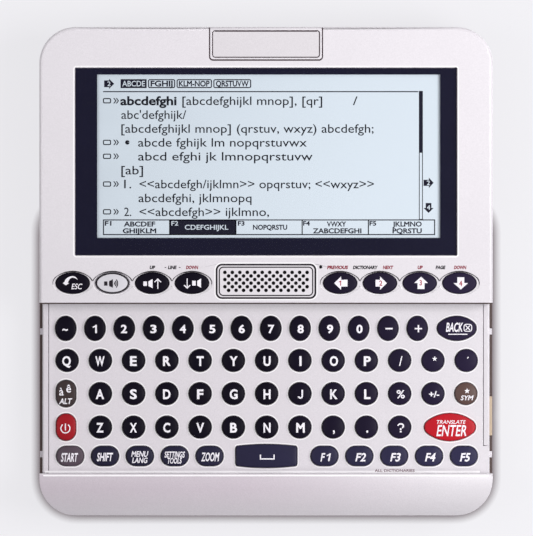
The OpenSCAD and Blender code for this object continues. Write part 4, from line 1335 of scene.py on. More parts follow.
def slanted(text, cap, width, weight=word_weight):
    """Condensed slanted capitals, fitted to a width. A small letter stands upright and is thinner."""
    if text.islower():
        return word(text, cap, width, small_weight)
    return word(text, cap, width, weight, slant)


word_keys = {
    "start_key": [("START", 2.3, 4.83, -0.17, -0.4)],
    "shift_key": [("SHIFT", 2.2, 4.6, 0.0, -0.28)],
    "menu_key": [("MENU", 1.5, 4.83, 0.0, 0.56), ("LANG", 1.4, 4.4, 0.0, -1.2)],
    "settings_key": [("SETTINGS", 1.6, 5.76, 0.0, 0.4), ("TOOLS", 1.5, 4.0, 0.0, -1.32)],
    "zoom_key": [("ZOOM", 2.3, 5.16, 0.2, -0.26)],
    "enter_key": [("TRANSLATE", 0.98, 8.2, 0.4, 1.44), ("ENTER", 3.0, 8.37, 0.39, -0.97)],
    "symbol_key": [("SYM", 1.25, 3.7, 0.34, -1.18)],
    "alt_key": [("ALT", 1.5, 3.7, -0.1, -2.13), ("à", 2.2, 1.25, -1.29, 0.6), ("ê", 2.2, 1.35, 0.75, 1.45)],
    "back_key": [("BACK", 2.4, 4.83, -0.64, 0.32)],
    "f1_key": [("F", 2.2, 1.35, -0.45, -0.35)],
}
for number in range(2, 6):
    word_keys[f"f{number}_key"] = [(f"F{number}", 2.2, 3.0, 0.35, -0.35)]
boxed_cross = [[(2.4, -0.42), (2.56, -0.6), (3.84, 0.74), (3.68, 0.92)],
               [(2.4, 0.74), (3.68, -0.6), (3.84, -0.42), (2.56, 0.92)]]
extra_shapes = {
    "symbol_key": [star(0.8, (0.35, 0.72))],
    "power_key": [band(1.42, 1.42, 125, 415, 0.3, (-0.17, -0.36)), rectangle(-0.32, -0.02, -0.9, 0.99)],
    "space_key": [rectangle(-1.84, 2.34, -0.98, -0.64), rectangle(-1.84, -1.5, -0.64, 0.4),
                  rectangle(2.0, 2.34, -0.64, 0.4)],
    "back_key": [rectangle(-2.38, 3.02, -1.78, -1.52), *frame_line(2.4, 2.2, 0.75, 0.24, (3.12, 0.16)),
                 *boxed_cross],
}
for node in sorted(set(word_keys) | set(extra_shapes)):
    weight = thin_weight if node == "enter_key" else word_weight
    entries = [(0, slanted(text, cap, width, weight), dx, dy)
               for text, cap, width, dx, dy in word_keys.get(node, [])]
    if node in extra_shapes:
        entries.append((0, shape(*extra_shapes[node]), 0, 0))
    if node == "f1_key":
        entries.append((0, numeral_one(2.2, slant), 1.0, -0.35))
    print_on_keys(node, entries)
print("printed", len(set(word_keys) | set(extra_shapes)), "word and symbol keys")

# %% [markdown]
# ## Function keys below the display
#
# Seven oval keys carry white icons: back, volume and page arrows. They are drawn from a few points each.

# %% Icon outlines
def speaker_icon(box_x, horn_x, box_half, horn_left, horn_right, lift=-0.15):
    """A loudspeaker: a square magnet and an opening horn."""
    return [rectangle(box_x[0], box_x[1], lift - box_half, lift + box_half),
            [(horn_x[0], lift - horn_left), (horn_x[1], lift - horn_right),
             (horn_x[1], lift + horn_right), (horn_x[0], lift + horn_left)]]


def line_arrow(x, y_tail, y_tip, wing, line=0.27):
    """A thin vertical arrow with an open head."""
    step = math.copysign(0.98, y_tip - y_tail)
    neck = y_tip - math.copysign(line, step)
    shaft = rectangle(x - line / 2, x + line / 2, min(y_tail, neck), max(y_tail, neck))
    inner = y_tip - math.copysign(line * 1.5, step)
    return [shaft, [(x - wing, y_tip - step), (x, y_tip), (x + wing, y_tip - step),
                    (x + wing - line, y_tip - step * 1.15), (x, inner),
                    (x - wing + line, y_tip - step * 1.15)]]


def block_arrow(tip, neck, tail, wing, shaft, upright=False):
    """A fat arrow along X, or along Y if upright."""
    points = [(tip, 0), (neck, wing), (neck, shaft), (tail, shaft), (tail, -shaft), (neck, -shaft),
              (neck, -wing)]
    return moved([(y, x) for x, y in points], 0.4, 0) if upright else points


return_arrow = [(-1.88, -0.64), (-2.77, 0.0), (-2.29, 0.32), (-2.05, 0.95), (-1.56, 1.45), (-0.9, 1.82),
                (-0.19, 1.98), (0.35, 1.93), (0.77, 1.77), (1.15, 1.4), (1.42, 0.89), (1.05, 1.22),
                (0.61, 1.42), (0.2, 1.53), (-0.19, 1.53), (-0.6, 1.33), (-0.92, 0.97), (-1.2, 0.5),
                (-1.35, 0.0), (-0.92, 0.0)]
white_icons = {
    "escape_key": [return_arrow],
    "volume_up_key": speaker_icon((-2.45, -1.45), (-1.03, 0.13), 0.62, 0.64, 1.31)
                     + line_arrow(1.58, -1.58, 1.32, 1.05),
    "volume_down_key": speaker_icon((0.08, 1.08), (1.48, 2.57), 0.68, 0.64, 1.29, 0)
                       + line_arrow(-1.33, 1.32, -1.6, 1.0),
    "previous_key": [block_arrow(-1.64, 0.29, 2.06, 1.9, 0.95)],
    "next_key": [block_arrow(1.98, 0.05, -1.21, 1.88, 0.95)],
    "page_up_key": [block_arrow(1.82, 0.03, -1.65, 1.93, 0.98, True)],
    "page_down_key": [block_arrow(-1.79, 0.03, 1.65, 2.05, 0.98, True)],
}
for node, outlines in white_icons.items():
    entries = [(0, shape(*outlines), 0, 0)]
    if node == "escape_key":
        entries.append((0, slanted("ESC", 1.5, 3.1, thin_weight), 1.2, -0.93))
    print_on_keys(node, entries, "icon")
print("icons on", len(white_icons), "function keys")

# %% [markdown]
# ### Arrow numbers and the speak key
#
# Each page arrow has a small red figure on it, a second print that stands a little higher than the
# white. The speak key is the odd one: its cap is light, so its ring and icon are printed in dark ink.

# %% Arrow numbers and the speak key
digit_cap = 1.4
digit_proud = 0.034
red_digits = {"previous_key": ("1", -0.1, 0.0), "next_key": ("2", 0.25, 0.0),
              "page_up_key": ("3", 0.3, 0.1), "page_down_key": ("4", 0.35, -0.1)}
for node, (digit, dx, dy) in red_digits.items():
    figure = numeral_one(digit_cap) if digit == "1" else word(digit, digit_cap)
    print_on_keys(node, [(0, figure, dx, dy)], "digit", red_ink, digit_proud)

waves = [band(reach * 0.62, reach, -62, 62, 0.3, (0.25 + reach * 0.35, -0.1), 10)
         for reach in (0.5, 0.95, 1.4)]
speak_shapes = speaker_icon((-2.33, -1.37), (-0.92, 0.16), 0.6, 0.68, 1.2, -0.12) + waves
speak_shapes += halves(ellipse(4.7, 2.9, 40), ellipse(4.24, 2.5, 40))
print_on_keys("speak_key", [(0, shape(*speak_shapes), 0, 0)], "icon", black_ink)
print("the speak key has", len(speak_shapes), "dark shapes")

# %% [markdown]
# ## Words printed on the case
#
# Small captions stand above the page keys and under the keyboard. They are the only words on the
# silver faces, in red and black. Each is a word, its middle in X and its width.

# %% Captions
z_face = node_box("screen_front_cover")[1].z
z_deck = node_box("left_rail")[1].z
caption_y = 1.1
caption_proud = 0.008
captions = {
    "black": (black_ink, [("UP", -31.8, 1.56), ("LINE", -26.25, 2.5), ("DICTIONARY", 27.84, 7.0),
                          ("PAGE", 48.9, 2.8)]),
    "red": (caption_red, [("DOWN", -20.7, 3.46), ("PREVIOUS", 20.05, 5.9), ("NEXT", 34.2, 2.95),
                          ("UP", 43.2, 1.46), ("DOWN", 54.4, 3.5)]),
}
for ink_name, (ink_used, words) in captions.items():
    prints = [flat_print(word(text, 0.86, width, 0.058, 0.15), z_face, (x, caption_y), caption_proud)
              for text, x, width in words]
    if ink_name == "black":
        dashes = shape(rectangle(-28.4, -27.95, 0.98, 1.2), rectangle(-24.4, -23.95, 0.98, 1.2))
        prints.append(flat_print(dashes, z_face, proud=caption_proud))
    print_piece("captions_" + ink_name, prints, "screen", ink_used)
deck_caption = flat_print(word("ALL DICTIONARIES", 0.72, 11.2), z_deck, (36.1, -55.9), caption_proud)
print_piece("deck_caption", [deck_caption], "base", grey_ink)
print("captions:", sum(len(words) for _, words in captions.values()) + 1)

# %% [markdown]
# ## Fine lines of the case
#
# A groove two tenths of a millimetre wide reads as a dark line, because shade and dust sit in it. Here
# that shade is painted, as a line that is broad where the recess turns away from the light and thin where
# it faces it. The dishes of the function keys get such a painted shade line along their upper wall and a
# painted highlight along the lower wall, and neighbours meet in a cusp.

# %% Dish lines
dish_w, dish_l, dish_depth = 11.3, 6.85, 0.25
dish_proud = 0.13
function_spots = sorted(keys[node][0][0] for node in function_nodes)


def dish_arc(middle, upper, broad, thin, steps=26):
    """One wall of a dish as a crescent that ends halfway to a neighbour, or a little past the tip."""
    gaps = [spot[0] - middle[0] for spot in function_spots]
    to_right = min([gap for gap in gaps if 0 < gap < dish_w], default=0)
    to_left = max([gap for gap in gaps if -dish_w < gap < 0], default=0)
    side = 1 if upper else -1
    first = math.acos(to_right / dish_w) if to_right else -0.12 * upper
    last = math.pi - math.acos(-to_left / dish_w) if to_left else math.pi + 0.12 * upper
    outer, inner = [], []
    for step in range(steps + 1):
        angle = first + (last - first) * step / steps
        line = thin + (broad - thin) * max(0.0, math.sin(angle))
        for points, inset in ((outer, 0.01), (inner, line)):
            x, y = (dish_w / 2 - inset) * math.cos(angle), (dish_l / 2 - inset) * math.sin(angle)
            points.append((x, y * side))
    return outer + inner[::-1]


# dish_shades is painted shade in black ink along the upper walls; dish_glints is a painted highlight along
# the lower walls.
for line_name, ink_used, *line in (("dish_shades", black_ink, True, 0.34, 0.13),
                                   ("dish_glints", rim_highlight_ink, False, 0.2, 0.1)):
    arcs = [flat_print(shape(dish_arc(spot, *line)), z_face - dish_depth, spot, dish_proud)
            for spot in function_spots]
    print_piece(line_name, arcs, "screen", ink_used)
print("lines round", len(function_spots), "dishes")

# %% [markdown]
# ### Parting line of the screen half
#
# The front cover of the screen half ends in a thin darker line: partly the dark parting line where it
# meets its rear half, partly painted shade along its rounded edge. The line follows the true outline of
# the solid: the walk starts at the outermost corner of its lower face and goes from edge to edge until it
# is back. A ray from above then finds how high the rounded edge of the cover is at each point of the line.

# %% Edge line
def outer_edge(node):
    """Points along the outer border of a solid's lowest face, in millimetres, anticlockwise from above."""
    height = node_box(node)[0].z
    maker = merged(node)
    flat = {face for face in maker.faces
            if face.normal.z < -0.999 and abs(face.calc_center_median().z / MM - height) < 0.01}
    follows = {}
    for face in flat:
        for loop in face.loops:
            if sum(other in flat for other in loop.edge.link_faces) == 1:
                follows[loop.link_loop_next.vert.index] = loop.vert.index
    places = {vert.index: (vert.co.x / MM, vert.co.y / MM) for vert in maker.verts}
    maker.free()
    start = max(follows, key=lambda index: places[index])
    path, here = [start], follows[start]
    while here != start:
        path.append(here)
        here = follows[here]
    return [places[index] for index in path]


def height_of(node):
    """The height of a solid's upper surface at a place, found by a ray from above."""
    solid = BVHTree.FromBMesh(merged(node, 0))
    return lambda x, y: solid.ray_cast(Vector((x, y, 50)) * MM, -up)[0].z / MM


def strip_drawing(points, inset, line):
    """A narrow strip just inside a closed path, as quads that share their corners."""
    maker = bmesh.new()
    outer, inner = [], []
    for i in range(len(points)):
        before, here, after = (Vector(points[(i + step) % len(points)]) for step in (-1, 0, 1))
        inwards = Vector((0, 0))
        for first, second in ((before, here), (here, after)):
            along_edge = (second - first).normalized()
            inwards += Vector((-along_edge.y, along_edge.x))
        inwards = inwards.normalized() * min(2 / inwards.length, 1.5)
        outer.append(maker.verts.new((here + inwards * inset).to_3d()))
        inner.append(maker.verts.new((here + inwards * (inset + line)).to_3d()))
    ladder(maker, outer, inner)
    return maker


edge_inset, edge_line, edge_sunk = 0.06, 0.22, 0.1
cover_edge = outer_edge("screen_front_cover")
# A dark strip: partly the parting line, partly painted shade along the cover's rounded edge.
edge_print = pressed(strip_drawing(cover_edge, edge_inset, edge_line), height_of("screen_front_cover"),
                     (0, 0), 0, line_proud, edge_sunk)
print_piece("cover_edge_line", [edge_print], "screen", edge_shade_ink)
print("the cover's edge has", len(cover_edge), "points")

# %% [markdown]
# ### Tab, badge and painted highlight rims
#
# The tab round the badge plate is an open frame of painted shade that runs off the upper edge of the case,
# broader along its bottom, and the badge has a painted shade line round it and along its top. The window
# and the grille have a narrow painted highlight round them, which is lighter than the paint.

# %% Tab, badge and rims
def open_frame(half_w, top, bottom, radius, side_line, bottom_line):
    """A frame without its upper side, as one outline."""
    def path(half, low, corner_r):
        left = [(-half, top)]
        left += [(-half + corner_r * (1 - c), low + corner_r * (1 - s)) for c, s in quarter(8)]
        return left + [(-x, y) for x, y in reversed(left)]
    outer = path(half_w, bottom, radius)
    return outer + path(half_w - side_line, bottom + bottom_line, radius - side_line)[::-1]


def middle_and_size(node):
    """The middle of a node, its width and its length, in millimetres."""
    low, high = node_box(node)
    return (low + high) / 2, high.x - low.x, high.y - low.y


badge_mid, badge_w, badge_l = middle_and_size("badge_plate")
badge_line_out = 0.09
badge_w, badge_l = badge_w + 2 * badge_line_out, badge_l + 2 * badge_line_out
z_badge = node_box("badge_plate")[1].z
badge_proud = 0.02
# Painted shade: the tab's open frame, a line round the badge plate and a strip along its top.
badge_top_shade = rectangle(-14.3, 14.3, badge_l / 2 - 0.42, badge_l / 2 - 0.24)
tab_lines = [flat_print(shape(open_frame(15.98, 68.3, 58.98, 1.15, 0.3, 0.42)), z_face),
             flat_print(shape(*frame_line(badge_w, badge_l, 0.85, 0.26)), z_badge, badge_mid, badge_proud),
             flat_print(shape(badge_top_shade), z_badge, badge_mid, badge_proud)]
print_piece("tab_lines", tab_lines, "screen", groove_shade_ink)

grille_mid, grille_w, grille_l = middle_and_size("speaker_grille")
window_mid, window_w, window_l = middle_and_size("display_window")
# Painted highlights round the window and the grille.
rims = [flat_print(shape(*frame_line(window_w + 0.95, window_l + 0.95, 0.9, 0.33)), z_face, window_mid),
        flat_print(shape(*frame_line(grille_w + 0.85, grille_l + 0.85, 2.1, 0.3)), z_face, grille_mid)]
print_piece("polished_rims", rims, "screen", rim_highlight_ink)
print("tab, badge and two rims")

# %% [markdown]
# ### Painted highlights round the key holes and at the seam above the chin
#
# Each key hole in the deck gets a thin painted highlight round it, where its edge would catch the light.
# It follows the outline of its key at a fixed distance. Two more painted highlight lines mark the corner
# where the deck meets the chin, one on each side of the seam.

# %% Lips and seam
lip_gap, lip_line = 0.3, 0.24


def lip_drawing(outline):
    """A closed strip round a key, as quads."""
    maker = bmesh.new()
    inner, outer = ([maker.verts.new(point) for point in ring(outline, grow, 0)]
                    for grow in (lip_gap, lip_gap + lip_line))
    ladder(maker, outer, inner)
    return maker


# Painted highlights: a strip round each key hole, and one line on each side of the seam.
lips = [flat_print(lip_drawing(outline), z_deck, spot) for node, (spots, _, outline) in keys.items()
        if node not in function_nodes for spot in spots]
seams = [flat_print(shape(rectangle(-62.0, 60.0, -56.5, -55.95)), z_deck),
         flat_print(shape(rectangle(-62.4, 62.4, -57.42, -57.04)), node_box("upper_case")[1].z)]
lip_count = len(lips)
print_piece("deck_lips", lips + seams, "base", lip_highlight_ink)
print(lip_count, "lips and two seam lines")

# %% [markdown]
# ## The display window
#
# A clear plastic pane lies flush in the screen half. Its border is printed from behind in dark ink, so
# the ink shows through the pane's thickness and leaves a clear view of the liquid crystal below. Pane
# and print are separate pieces here too.

# %% Pane and printed border
pane_edge = 0.12
window_low, window_high = node_box("display_window")
pane_outline = rounded(window_w, window_l, 0.6)
pane_rings = [ring(pane_outline, 0, window_low.z + 0.02, window_mid)]
pane_rings += [ring(pane_outline, -pane_edge * (1 - c), window_high.z - pane_edge * (1 - s), window_mid)
               for c, s in quarter(3)]
add_piece("window_pane", mesh_from(skin(pane_rings), "window_pane", 50), "screen", "window_tint",
          ["display_window"])

view_mid = Vector((0.75, 32.25))
view_w, view_l = 96.1, 45.8
left, right = -window_w / 2 + 0.1, window_w / 2 - 0.1
front, back = window_mid.y - window_l / 2 + 0.1, window_mid.y + window_l / 2 - 0.1
x0, x1 = view_mid.x - view_w / 2, view_mid.x + view_w / 2
y0, y1 = view_mid.y - view_l / 2, view_mid.y + view_l / 2
border = shape(rectangle(left, right, front, y0), rectangle(left, right, y1, back),
               rectangle(left, x0, y0, y1), rectangle(x1, right, y0, y1))
bmesh.ops.remove_doubles(border, verts=border.verts, dist=0.001)
print_piece("window_border", [flat_print(border, window_low.z, proud=0.018, sunk=0.02)], "screen", border_ink)
print("clear view", view_w, "by", view_l, "mm in a pane of", round(window_w, 1), "by", round(window_l, 1))

# %% [markdown]
# ## The liquid crystal
#
# The glass shows a pale blue-grey field with a fine grid of dots. What it says is made-up filler in
# alphabetical order: tabs, a headword, lines with sound marks, a scroll bar, and five function boxes
# along the bottom. The field is one thin sheet, and the dark marks are a second layer above it.

# %% Field and its dot grid
dot_pitch = 0.4
field_margin = 0.5


def display_dots(tree, gap):
    """1 on a display dot and 0 between the dots."""
    sides = []
    for axis in "XY":
        place_in_dot = math_node(tree, "FRACT", partly(tree, object_axis(tree, axis), 1 / (dot_pitch * MM)))
        sides.append(math_node(tree, "GREATER_THAN", place_in_dot, gap))
    return {"Dot": math_node(tree, "MULTIPLY", *sides)}


groups["display_dots"] = shared_group(display_dots, "Gap", 0.16)


def crystal_field(name, colour):
    """Pale liquid crystal with its faint grid of dots, and painted shade that darkens it towards the left."""
    material, tree, shader = new_material(name, Specular_IOR_Level=0.3)
    dots = place(tree, "display_dots")
    texture = place(tree, "moulded_grain", Grain=400.0)
    # Painted shade: the field is darker towards the left.
    tint = blend(tree, along(tree, "X", -50, 20, 0.0, 1.0), shaded(colour, 0.84), colour)
    tint = blend(tree, partly(tree, texture["Mottle"], 0.5), tint, shaded(colour, 0.97))
    feed(shader, Base_Color=blend(tree, partly(tree, dots["Dot"], 0.6), tint, shaded(colour, 0.95)),
         Roughness=spread(tree, texture["Mottle"], 0, 1, 0.42, 0.5))
    return material


z_view = node_box("display_panel")[1].z
field_finish = crystal_field("liquid_crystal_field", linear(224, 235, 246))
field = shape(rectangle(x0 - field_margin, x1 + field_margin, y0 - field_margin, y1 + field_margin))
print_piece("crystal_field", [flat_print(field, z_view, proud=0.01, sunk=0.01)], "screen", field_finish)
print("about", round(view_w / dot_pitch), "by", round(view_l / dot_pitch), "dots")

# %% [markdown]
# ### Rows of marks
#
# Each stretch of small writing is a run of the alphabet with its left end, its width and its row. It is
# fitted to that width, so the page keeps its layout whatever it says. A box with two chevrons stands in
# front of the rows that can be spoken.

# %% Rows of marks
line_pitch = 3.89
first_line = 15.55
text_cap = 2.35
headword = "abcdefghi"


def display_print(drawing, at=(0, 0), proud=0.02):
    """A mark on the display, placed from the view's centre."""
    return flat_print(drawing, z_view, view_mid, proud, 0, at)


def row_y(row):
    """The middle of a row of writing, from the view's centre."""
    return first_line - line_pitch * row


def sound_mark(row):
    """A small box with two chevrons, as in front of a phrase that can be spoken."""
    x, y = -45.3, row_y(row)
    chevron = [(1.75, 0.75), (2.3, 0), (1.75, -0.75), (2.1, -0.75), (2.65, 0), (2.1, 0.75)]
    return frame_line(2.3, 1.5, 0.45, 0.3, (x, y)) + [moved(chevron, x, y), moved(chevron, x + 0.7, y)]


writing = [
    (headword, -41.6, 15.8, 0), ("[abcdefghijkl mnop], [qr]", -24.2, 39.2, 0), ("/", 23.6, 1.3, 0),
    ("abc'defghijk/", -41.3, 18.2, 1), ("[abcdefghijkl mnop] (qrstuv, wxyz) abcdefgh;", -41.3, 70.7, 2),
    ("abcde fghijk lm nopqrstuvwx", -36.6, 47.3, 3), ("abcd efghi jk lmnopqrstuvw", -36.6, 48.9, 4),
    ("[ab]", -41.3, 6.1, 5), ("1.", -40.5, 2.0, 6),
    ("<<abcdefgh/ijklmn>> opqrstuv; <<wxyz>>", -36.2, 65.7, 6),
    ("abcdefghi, jklmnopq", -36.5, 31.7, 7), ("2.", -40.5, 2.0, 8), ("<<abcdefgh>> ijklmno,", -36.2, 36.3, 8),
]
display_marks = [display_print(word(text, text_cap, width, 0.03 if text == headword else 0.004),
                               (left + width / 2, row_y(row))) for text, left, width, row in writing]
display_shapes = [band(0.62, 0.62, 0, 350, 0.6, (-39.6, row_y(3)))]
for row in (0, 3, 4, 6, 8):
    display_shapes += sound_mark(row)
display_marks.append(display_print(shape(*display_shapes)))
print_piece("display_writing", display_marks, "screen", dot_ink)
print(len(writing), "stretches of filler writing")

# %% [markdown]
# ### Tabs, rules, scroll bar and boxes
#
# The frame of the page is drawn in solid dots: tabs and a rule above, the scroll bar and two arrows at
# the side, and the function boxes below. Words on a dark box are a third layer in the field's colour.

# %% Tabs, rules, scroll bar and boxes
box_edges = [-46.3 + 18.56 * i for i in range(6)]
box_low, box_high = -22.1, -17.7
box_line = 0.3
tab_y, tab_l = 20.35, 2.5
tab_edges = ((-33.8, -26.2), (-25.8, -15.9), (-15.5, -4.9))
solid_shapes = [
    [(-46.1, 19.35), (-44.7, 19.35), (-44.7, 18.9), (-43.3, 20.3), (-44.7, 21.7), (-44.7, 21.25),
     (-46.1, 21.25)],
    rectangle(-41.5, -34.2, 19.1, 21.6), rectangle(-46.4, 41.9, 17.95, 18.25),
    rectangle(42.1, 43.2, 1.0, 18.3), rectangle(box_edges[1], box_edges[2], box_low, box_high),
    [(43.4, -6.6), (44.9, -6.6), (44.9, -6.0), (46.2, -7.45), (44.9, -8.9), (44.9, -8.3), (43.4, -8.3)],
    [(44.0, -13.1), (45.6, -13.1), (45.6, -14.5), (46.2, -14.5), (44.8, -15.9), (43.4, -14.5), (44.0, -14.5)],
    *frame_line(1.1, 19.0, 0.1, 0.22, (42.65, -8.3)),
]
for left, right in tab_edges:
    solid_shapes += frame_line(right - left, tab_l, 0.5, box_line, ((left + right) / 2, tab_y))
for left, right in zip(box_edges, box_edges[1:]):
    solid_shapes += frame_line(right - left + box_line, box_high - box_low, 0.12, box_line,
                               ((left + right) / 2, (box_low + box_high) / 2))
dark_words = [("FGHIJ", -30.0, tab_y, 1.5, 6.2), ("KLM-NOP", -20.85, tab_y, 1.5, 8.6),
              ("QRSTUVW", -10.2, tab_y, 1.5, 9.2), ("F1", -45.0, -18.8, 1.2, 1.9),
              ("F3", -7.7, -18.8, 1.2, 1.9), ("F4", 10.6, -18.8, 1.2, 1.9),
              ("F5", 29.2, -18.8, 1.2, 1.9), ("ABCDEF", -36.2, -19.0, 1.3, 8.8),
              ("GHIJKLM", -36.2, -20.9, 1.3, 9.4), ("NOPQRSTU", 0.4, -19.9, 1.3, 9.6),
              ("VWXY", 19.0, -19.0, 1.3, 5.4), ("ZABCDEFGHI", 19.2, -20.9, 1.3, 13.6),
              ("JKLMNO", 38.8, -19.0, 1.3, 8.2), ("PQRSTU", 38.8, -20.9, 1.3, 8.2)]
light_words = [("ABCDE", -37.85, tab_y, 1.5, 6.4), ("F2", -26.3, -18.8, 1.2, 1.9),
               ("CDEFGHIJKL", -17.4, -19.9, 1.3, 12.2), ("2", -44.75, 20.3, 1.25, 0.9),
               ("2", 44.75, -7.45, 1.25, 0.9), ("4", 44.8, -14.35, 1.25, 0.9)]


def display_words(words, weight, proud):
    """Small capitals on the display: each is a word, its middle, its cap height and its width."""
    return [display_print(word(text, cap, width, weight), (x, y), proud) for text, x, y, cap, width in words]


dark_prints = [display_print(shape(*solid_shapes)), *display_words(dark_words, 0.032, 0.02)]
print_piece("display_boxes", dark_prints, "screen", solid_dot_ink)
print_piece("display_light_words", display_words(light_words, 0.012, 0.03), "screen", field_finish)
print(len(solid_shapes), "solid shapes on the display")

# %% [markdown]
# ## The speaker grille
#
# Six staggered rows of small holes are punched in a silver plate. Geometry Nodes lay two grids of
# cylinders, one for the odd rows and one for the even ones, and a boolean takes them out of the plate.
# Two dark printed lines run round it.

# %% Grille tree
def grille_tree():
    """A plate with two interleaved grids of holes."""
    tree, given, result = new_tree("punched_plate", {
        "Plate": "Object", "Columns": "Int", "Rows": "Int", "Pitch": "Float", "Row_Step": "Float",
        "Hole_Radius": "Float", "Middle": "Vector", "Finish": "Material"})
    plate = feed(tree.nodes.new("GeometryNodeObjectInfo"), Object=given["Plate"])
    hole = feed(tree.nodes.new("GeometryNodeMeshCylinder"), Vertices=20, Depth=4 * MM,
                Radius=given["Hole_Radius"])
    punched = add_node(tree, "GeometryNodeMeshBoolean", operation="DIFFERENCE", solver="EXACT")
    plug(punched.inputs[0], plate.outputs["Geometry"])
    row_gaps = math_node(tree, "SUBTRACT", given["Rows"], 1)
    height = math_node(tree, "MULTIPLY", row_gaps, math_node(tree, "MULTIPLY", given["Row_Step"], 2))
    for fewer in (0, 1):
        columns = math_node(tree, "SUBTRACT", given["Columns"], fewer)
        width = math_node(tree, "MULTIPLY", math_node(tree, "SUBTRACT", columns, 1), given["Pitch"])
        grid = feed(tree.nodes.new("GeometryNodeMeshGrid"), Size_X=width, Size_Y=height, Vertices_X=columns,
                    Vertices_Y=given["Rows"])
        shift = feed(tree.nodes.new("ShaderNodeCombineXYZ"),
                     Y=math_node(tree, "MULTIPLY", given["Row_Step"], 0.5 - fewer))
        middle = vector_node(tree, "ADD", shift.outputs["Vector"], given["Middle"])
        placed = feed(tree.nodes.new("GeometryNodeTransform"), Geometry=grid.outputs["Mesh"],
                      Translation=middle)
        instances = feed(tree.nodes.new("GeometryNodeInstanceOnPoints"), Points=placed.outputs["Geometry"],
                         Instance=hole.outputs["Mesh"])
        plug(punched.inputs[1], instances.outputs["Instances"])
    finish_tree(tree, punched.outputs["Mesh"], given["Finish"], result)
    return tree


grille_low, grille_high = node_box("speaker_grille")
plate_edge = 0.08
plate_outline = rounded(grille_w, grille_l, 1.7)
plate_rings = [ring(plate_outline, grow, z, grille_mid) for grow, z in (
    (0, grille_low.z), (0, grille_high.z - plate_edge), (-plate_edge, grille_high.z))]
plate_sample = in_scene("plate_sample", mesh_from(skin(plate_rings), "plate_sample"))
grille_mesh = grown(grille_tree(), "grille_plate", Plate=plate_sample, Columns=12, Rows=3, Pitch=2.094 * MM,
                    Row_Step=1.004 * MM, Hole_Radius=0.52 * MM, Middle=grille_mid * MM,
                    Finish=finishes["silver_shell"])
bpy.data.objects.remove(plate_sample)
add_piece("grille_plate", smooth_faces(grille_mesh, 30), "screen", "silver_shell", ["speaker_grille"])
grille_frames = frame_line(grille_w, grille_l, 1.7, 0.42, steps=48)
grille_frames += frame_line(26.5, 8.26, 1.3, 0.34, steps=48)
grille_print = flat_print(shape(*grille_frames), grille_high.z, grille_mid)
print_piece("grille_lines", [grille_print], "screen", black_ink)
print("grille plate has", len(grille_mesh.polygons), "faces")

# %% [markdown]
# ## Screws and feet
#
# A small cross-head screw is a turned profile with a recess; a foot is a low rubber dome. Both are
# spread over their spots by the copies tree, and the screws get a random turn each, because nobody
# lines up the crosses.

# %% Screw and foot samples
head_profile = ((0.30, 0.0), (0.85, 0.02), (0.96, 0.10), (1.0, 0.25), (1.0, 0.9), (0.9, 1.0))
head_h = 1.0
thread_pitch = 0.5
any_turn = 3.0
screw_seed = 7
foot_round = 0.5


def screw_mesh(box):
    """A pan-head screw in its solid's box, with its head at the low end and a thread above it."""
    low, high = box
    head_r = (high.x - low.x) / 2
    shank_r = head_r * 0.52
    profile = [(head_r * share, low.z + height) for share, height in head_profile]
    shank = high.z - low.z - head_h
    turns = int(shank / thread_pitch)
    for i in range(turns):
        z = low.z + head_h + shank * i / turns
        profile += [(shank_r * 0.8, z + 0.02), (shank_r, z + shank / turns * 0.5)]
    return turned("screw", profile + [(shank_r * 0.5, high.z)], 20, 30)


def cross_recess(box):
    """The driver's recess as a thin dark cross plate under the head: painted shade in place of the hollow."""
    low, high = box
    reach, half = (high.x - low.x) * 0.3, 0.24
    arm = [(half, -reach), (half, -half), (reach, -half), (reach, half), (half, half), (half, reach)]
    drawing = shape(arm + [(-x, -y) for x, y in arm])
    return flat_print(drawing, low.z, proud=0.03, sunk=0.008)


for node in ("case_screws", "screen_screws"):
    boxes = solids_of(node)
    spots = centres_of(boxes)
    screws = copies_of(screw_mesh(boxes[0]), node + "_turned", spots, finishes["screw_steel"], any_turn,
                       screw_seed)
    add_piece(node + "_turned", screws, body_of(node), "screw_steel", [node])
    # Painted shade: a dark cross plate stands for the shade in each screw's recess.
    crosses = copies_of(cross_recess(boxes[0]), node + "_crosses", spots, finishes["socket_black"],
                        any_turn, screw_seed)
    add_piece(node + "_crosses", crosses, body_of(node))

foot_boxes = solids_of("rubber_feet")
foot_low, foot_high = foot_boxes[0]
foot_r = (foot_high.x - foot_low.x) / 2
foot_profile = [(foot_r - foot_round * (1 - s), foot_low.z + foot_round * (1 - c)) for c, s in quarter(6)]
foot = turned("foot", foot_profile + [(foot_r, foot_high.z)], 48)
feet = copies_of(foot, "rubber_feet_domed", centres_of(foot_boxes), finishes["foot_rubber"])
add_piece("rubber_feet_domed", feet, "base", "foot_rubber", ["rubber_feet"])
print(len(foot_boxes), "feet of radius", round(foot_r, 2), "mm")

# %% [markdown]
# ## Floor
#
# The object lies on a plain pale floor. Part of what the camera sees of it is plain paper white, which
# keeps the background clean. Where the object is near, an ambient-occlusion mask darkens the floor's
# colour and that paper white: a painted contact shadow.

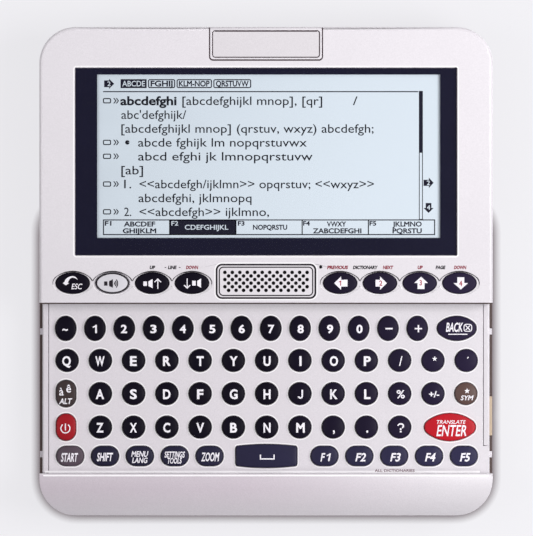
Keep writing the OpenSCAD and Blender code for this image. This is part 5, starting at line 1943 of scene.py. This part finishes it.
# %% Floor
def pale_floor():
    """A pale floor with a painted contact shadow: part of what the camera sees of it is plain paper white,
    and both are darkened near the object.
    """
    material, tree, shader = new_material("floor_pale", Roughness=0.9)
    contact = feed(add_node(tree, "ShaderNodeAmbientOcclusion", samples=24), Distance=3.0 * MM)
    # Painted contact shadow: an ambient-occlusion mask darkens the floor's colour and its paper white near
    # the object.
    near = spread(tree, contact.outputs["AO"], 1.0, 0.5)
    feed(shader, Base_Color=blend(tree, near, linear(238, 237, 240), linear(134, 122, 128)))
    paper = feed(add_node(tree, "ShaderNodeEmission"),
                 Color=blend(tree, near, linear(241, 240, 244), linear(120, 108, 114)))
    seen = partly(tree, add_node(tree, "ShaderNodeLightPath").outputs["Is Camera Ray"], 0.85)
    mixed = feed(add_node(tree, "ShaderNodeMixShader"), Fac=seen)
    plug(mixed.inputs[1], shader.outputs["BSDF"])
    plug(mixed.inputs[2], paper.outputs["Emission"])
    feed(tree.nodes["Material Output"], Surface=mixed.outputs["Shader"])
    return material


floor_half = 3.0
floor_mesh = bpy.data.meshes.new("floor")
floor_corners = rectangle(-floor_half, floor_half, -floor_half, floor_half)
floor_mesh.from_pydata([(x, y, 0) for x, y in floor_corners], [], [(0, 1, 2, 3)])
floor_mesh.materials.append(pale_floor())
floor = in_scene("floor", floor_mesh)
print("floor is", 2 * floor_half, "m wide")

# %% [markdown]
# ## Light
#
# Two soft square lamps stand at the right and at the left, the right one nearer and stronger, and an
# even white world fills the rest. Together they are balanced so that a colour renders about as it is
# written.

# %% Lights
def soft_lamp(name, spot, size, power):
    """A square area lamp that looks at the origin."""
    data = bpy.data.lights.new(name, "AREA")
    data.shape = "SQUARE"
    data.size = size
    data.energy = power
    lamp = in_scene(name, data)
    lamp.location = spot
    lamp.rotation_euler = (-Vector(spot)).to_track_quat("-Z", "Y").to_euler()


soft_lamp("right_lamp", (0.36, 0.0, 0.46), 0.34, 2.95)
soft_lamp("left_lamp", (-0.60, 0.0, 0.80), 0.5, 2.2)
world = bpy.data.worlds.new("studio")
world.use_nodes = True
feed(world.node_tree.nodes["Background"], Color=white, Strength=0.33)
bpy.context.scene.world = world
bpy.context.scene.view_settings.view_transform = "Standard"
print("two lamps and an even world")

# %% [markdown]
# ## Camera
#
# The object is seen straight from above with a very long lens from five metres, so that its sides hide
# and its outlines stay true to size. The lens follows from the width that the render shows at the height
# of the faces.

# %% Camera
picture_w, picture_h = 533, 536
view_scale = 0.28035
origin_x, chin_y, chin_end = 266, 515.5, -68.45
camera_x = (picture_w / 2 - origin_x) * view_scale
camera_y = (chin_y - picture_h / 2) * view_scale + chin_end
camera_z = 5000.0
mean_face = 15.5
sensor = 36
camera_data = bpy.data.cameras.new("camera")
camera_data.sensor_fit = "HORIZONTAL"
camera_data.sensor_width = sensor
camera_data.lens = sensor * (camera_z - mean_face) / (picture_w * view_scale)
camera_data.clip_end = 20
camera = in_scene("camera", camera_data)
camera.location = (camera_x * MM, camera_y * MM, camera_z * MM)
bpy.context.scene.camera = camera
print("lens of", round(camera_data.lens), "mm at", camera_z * MM, "m")
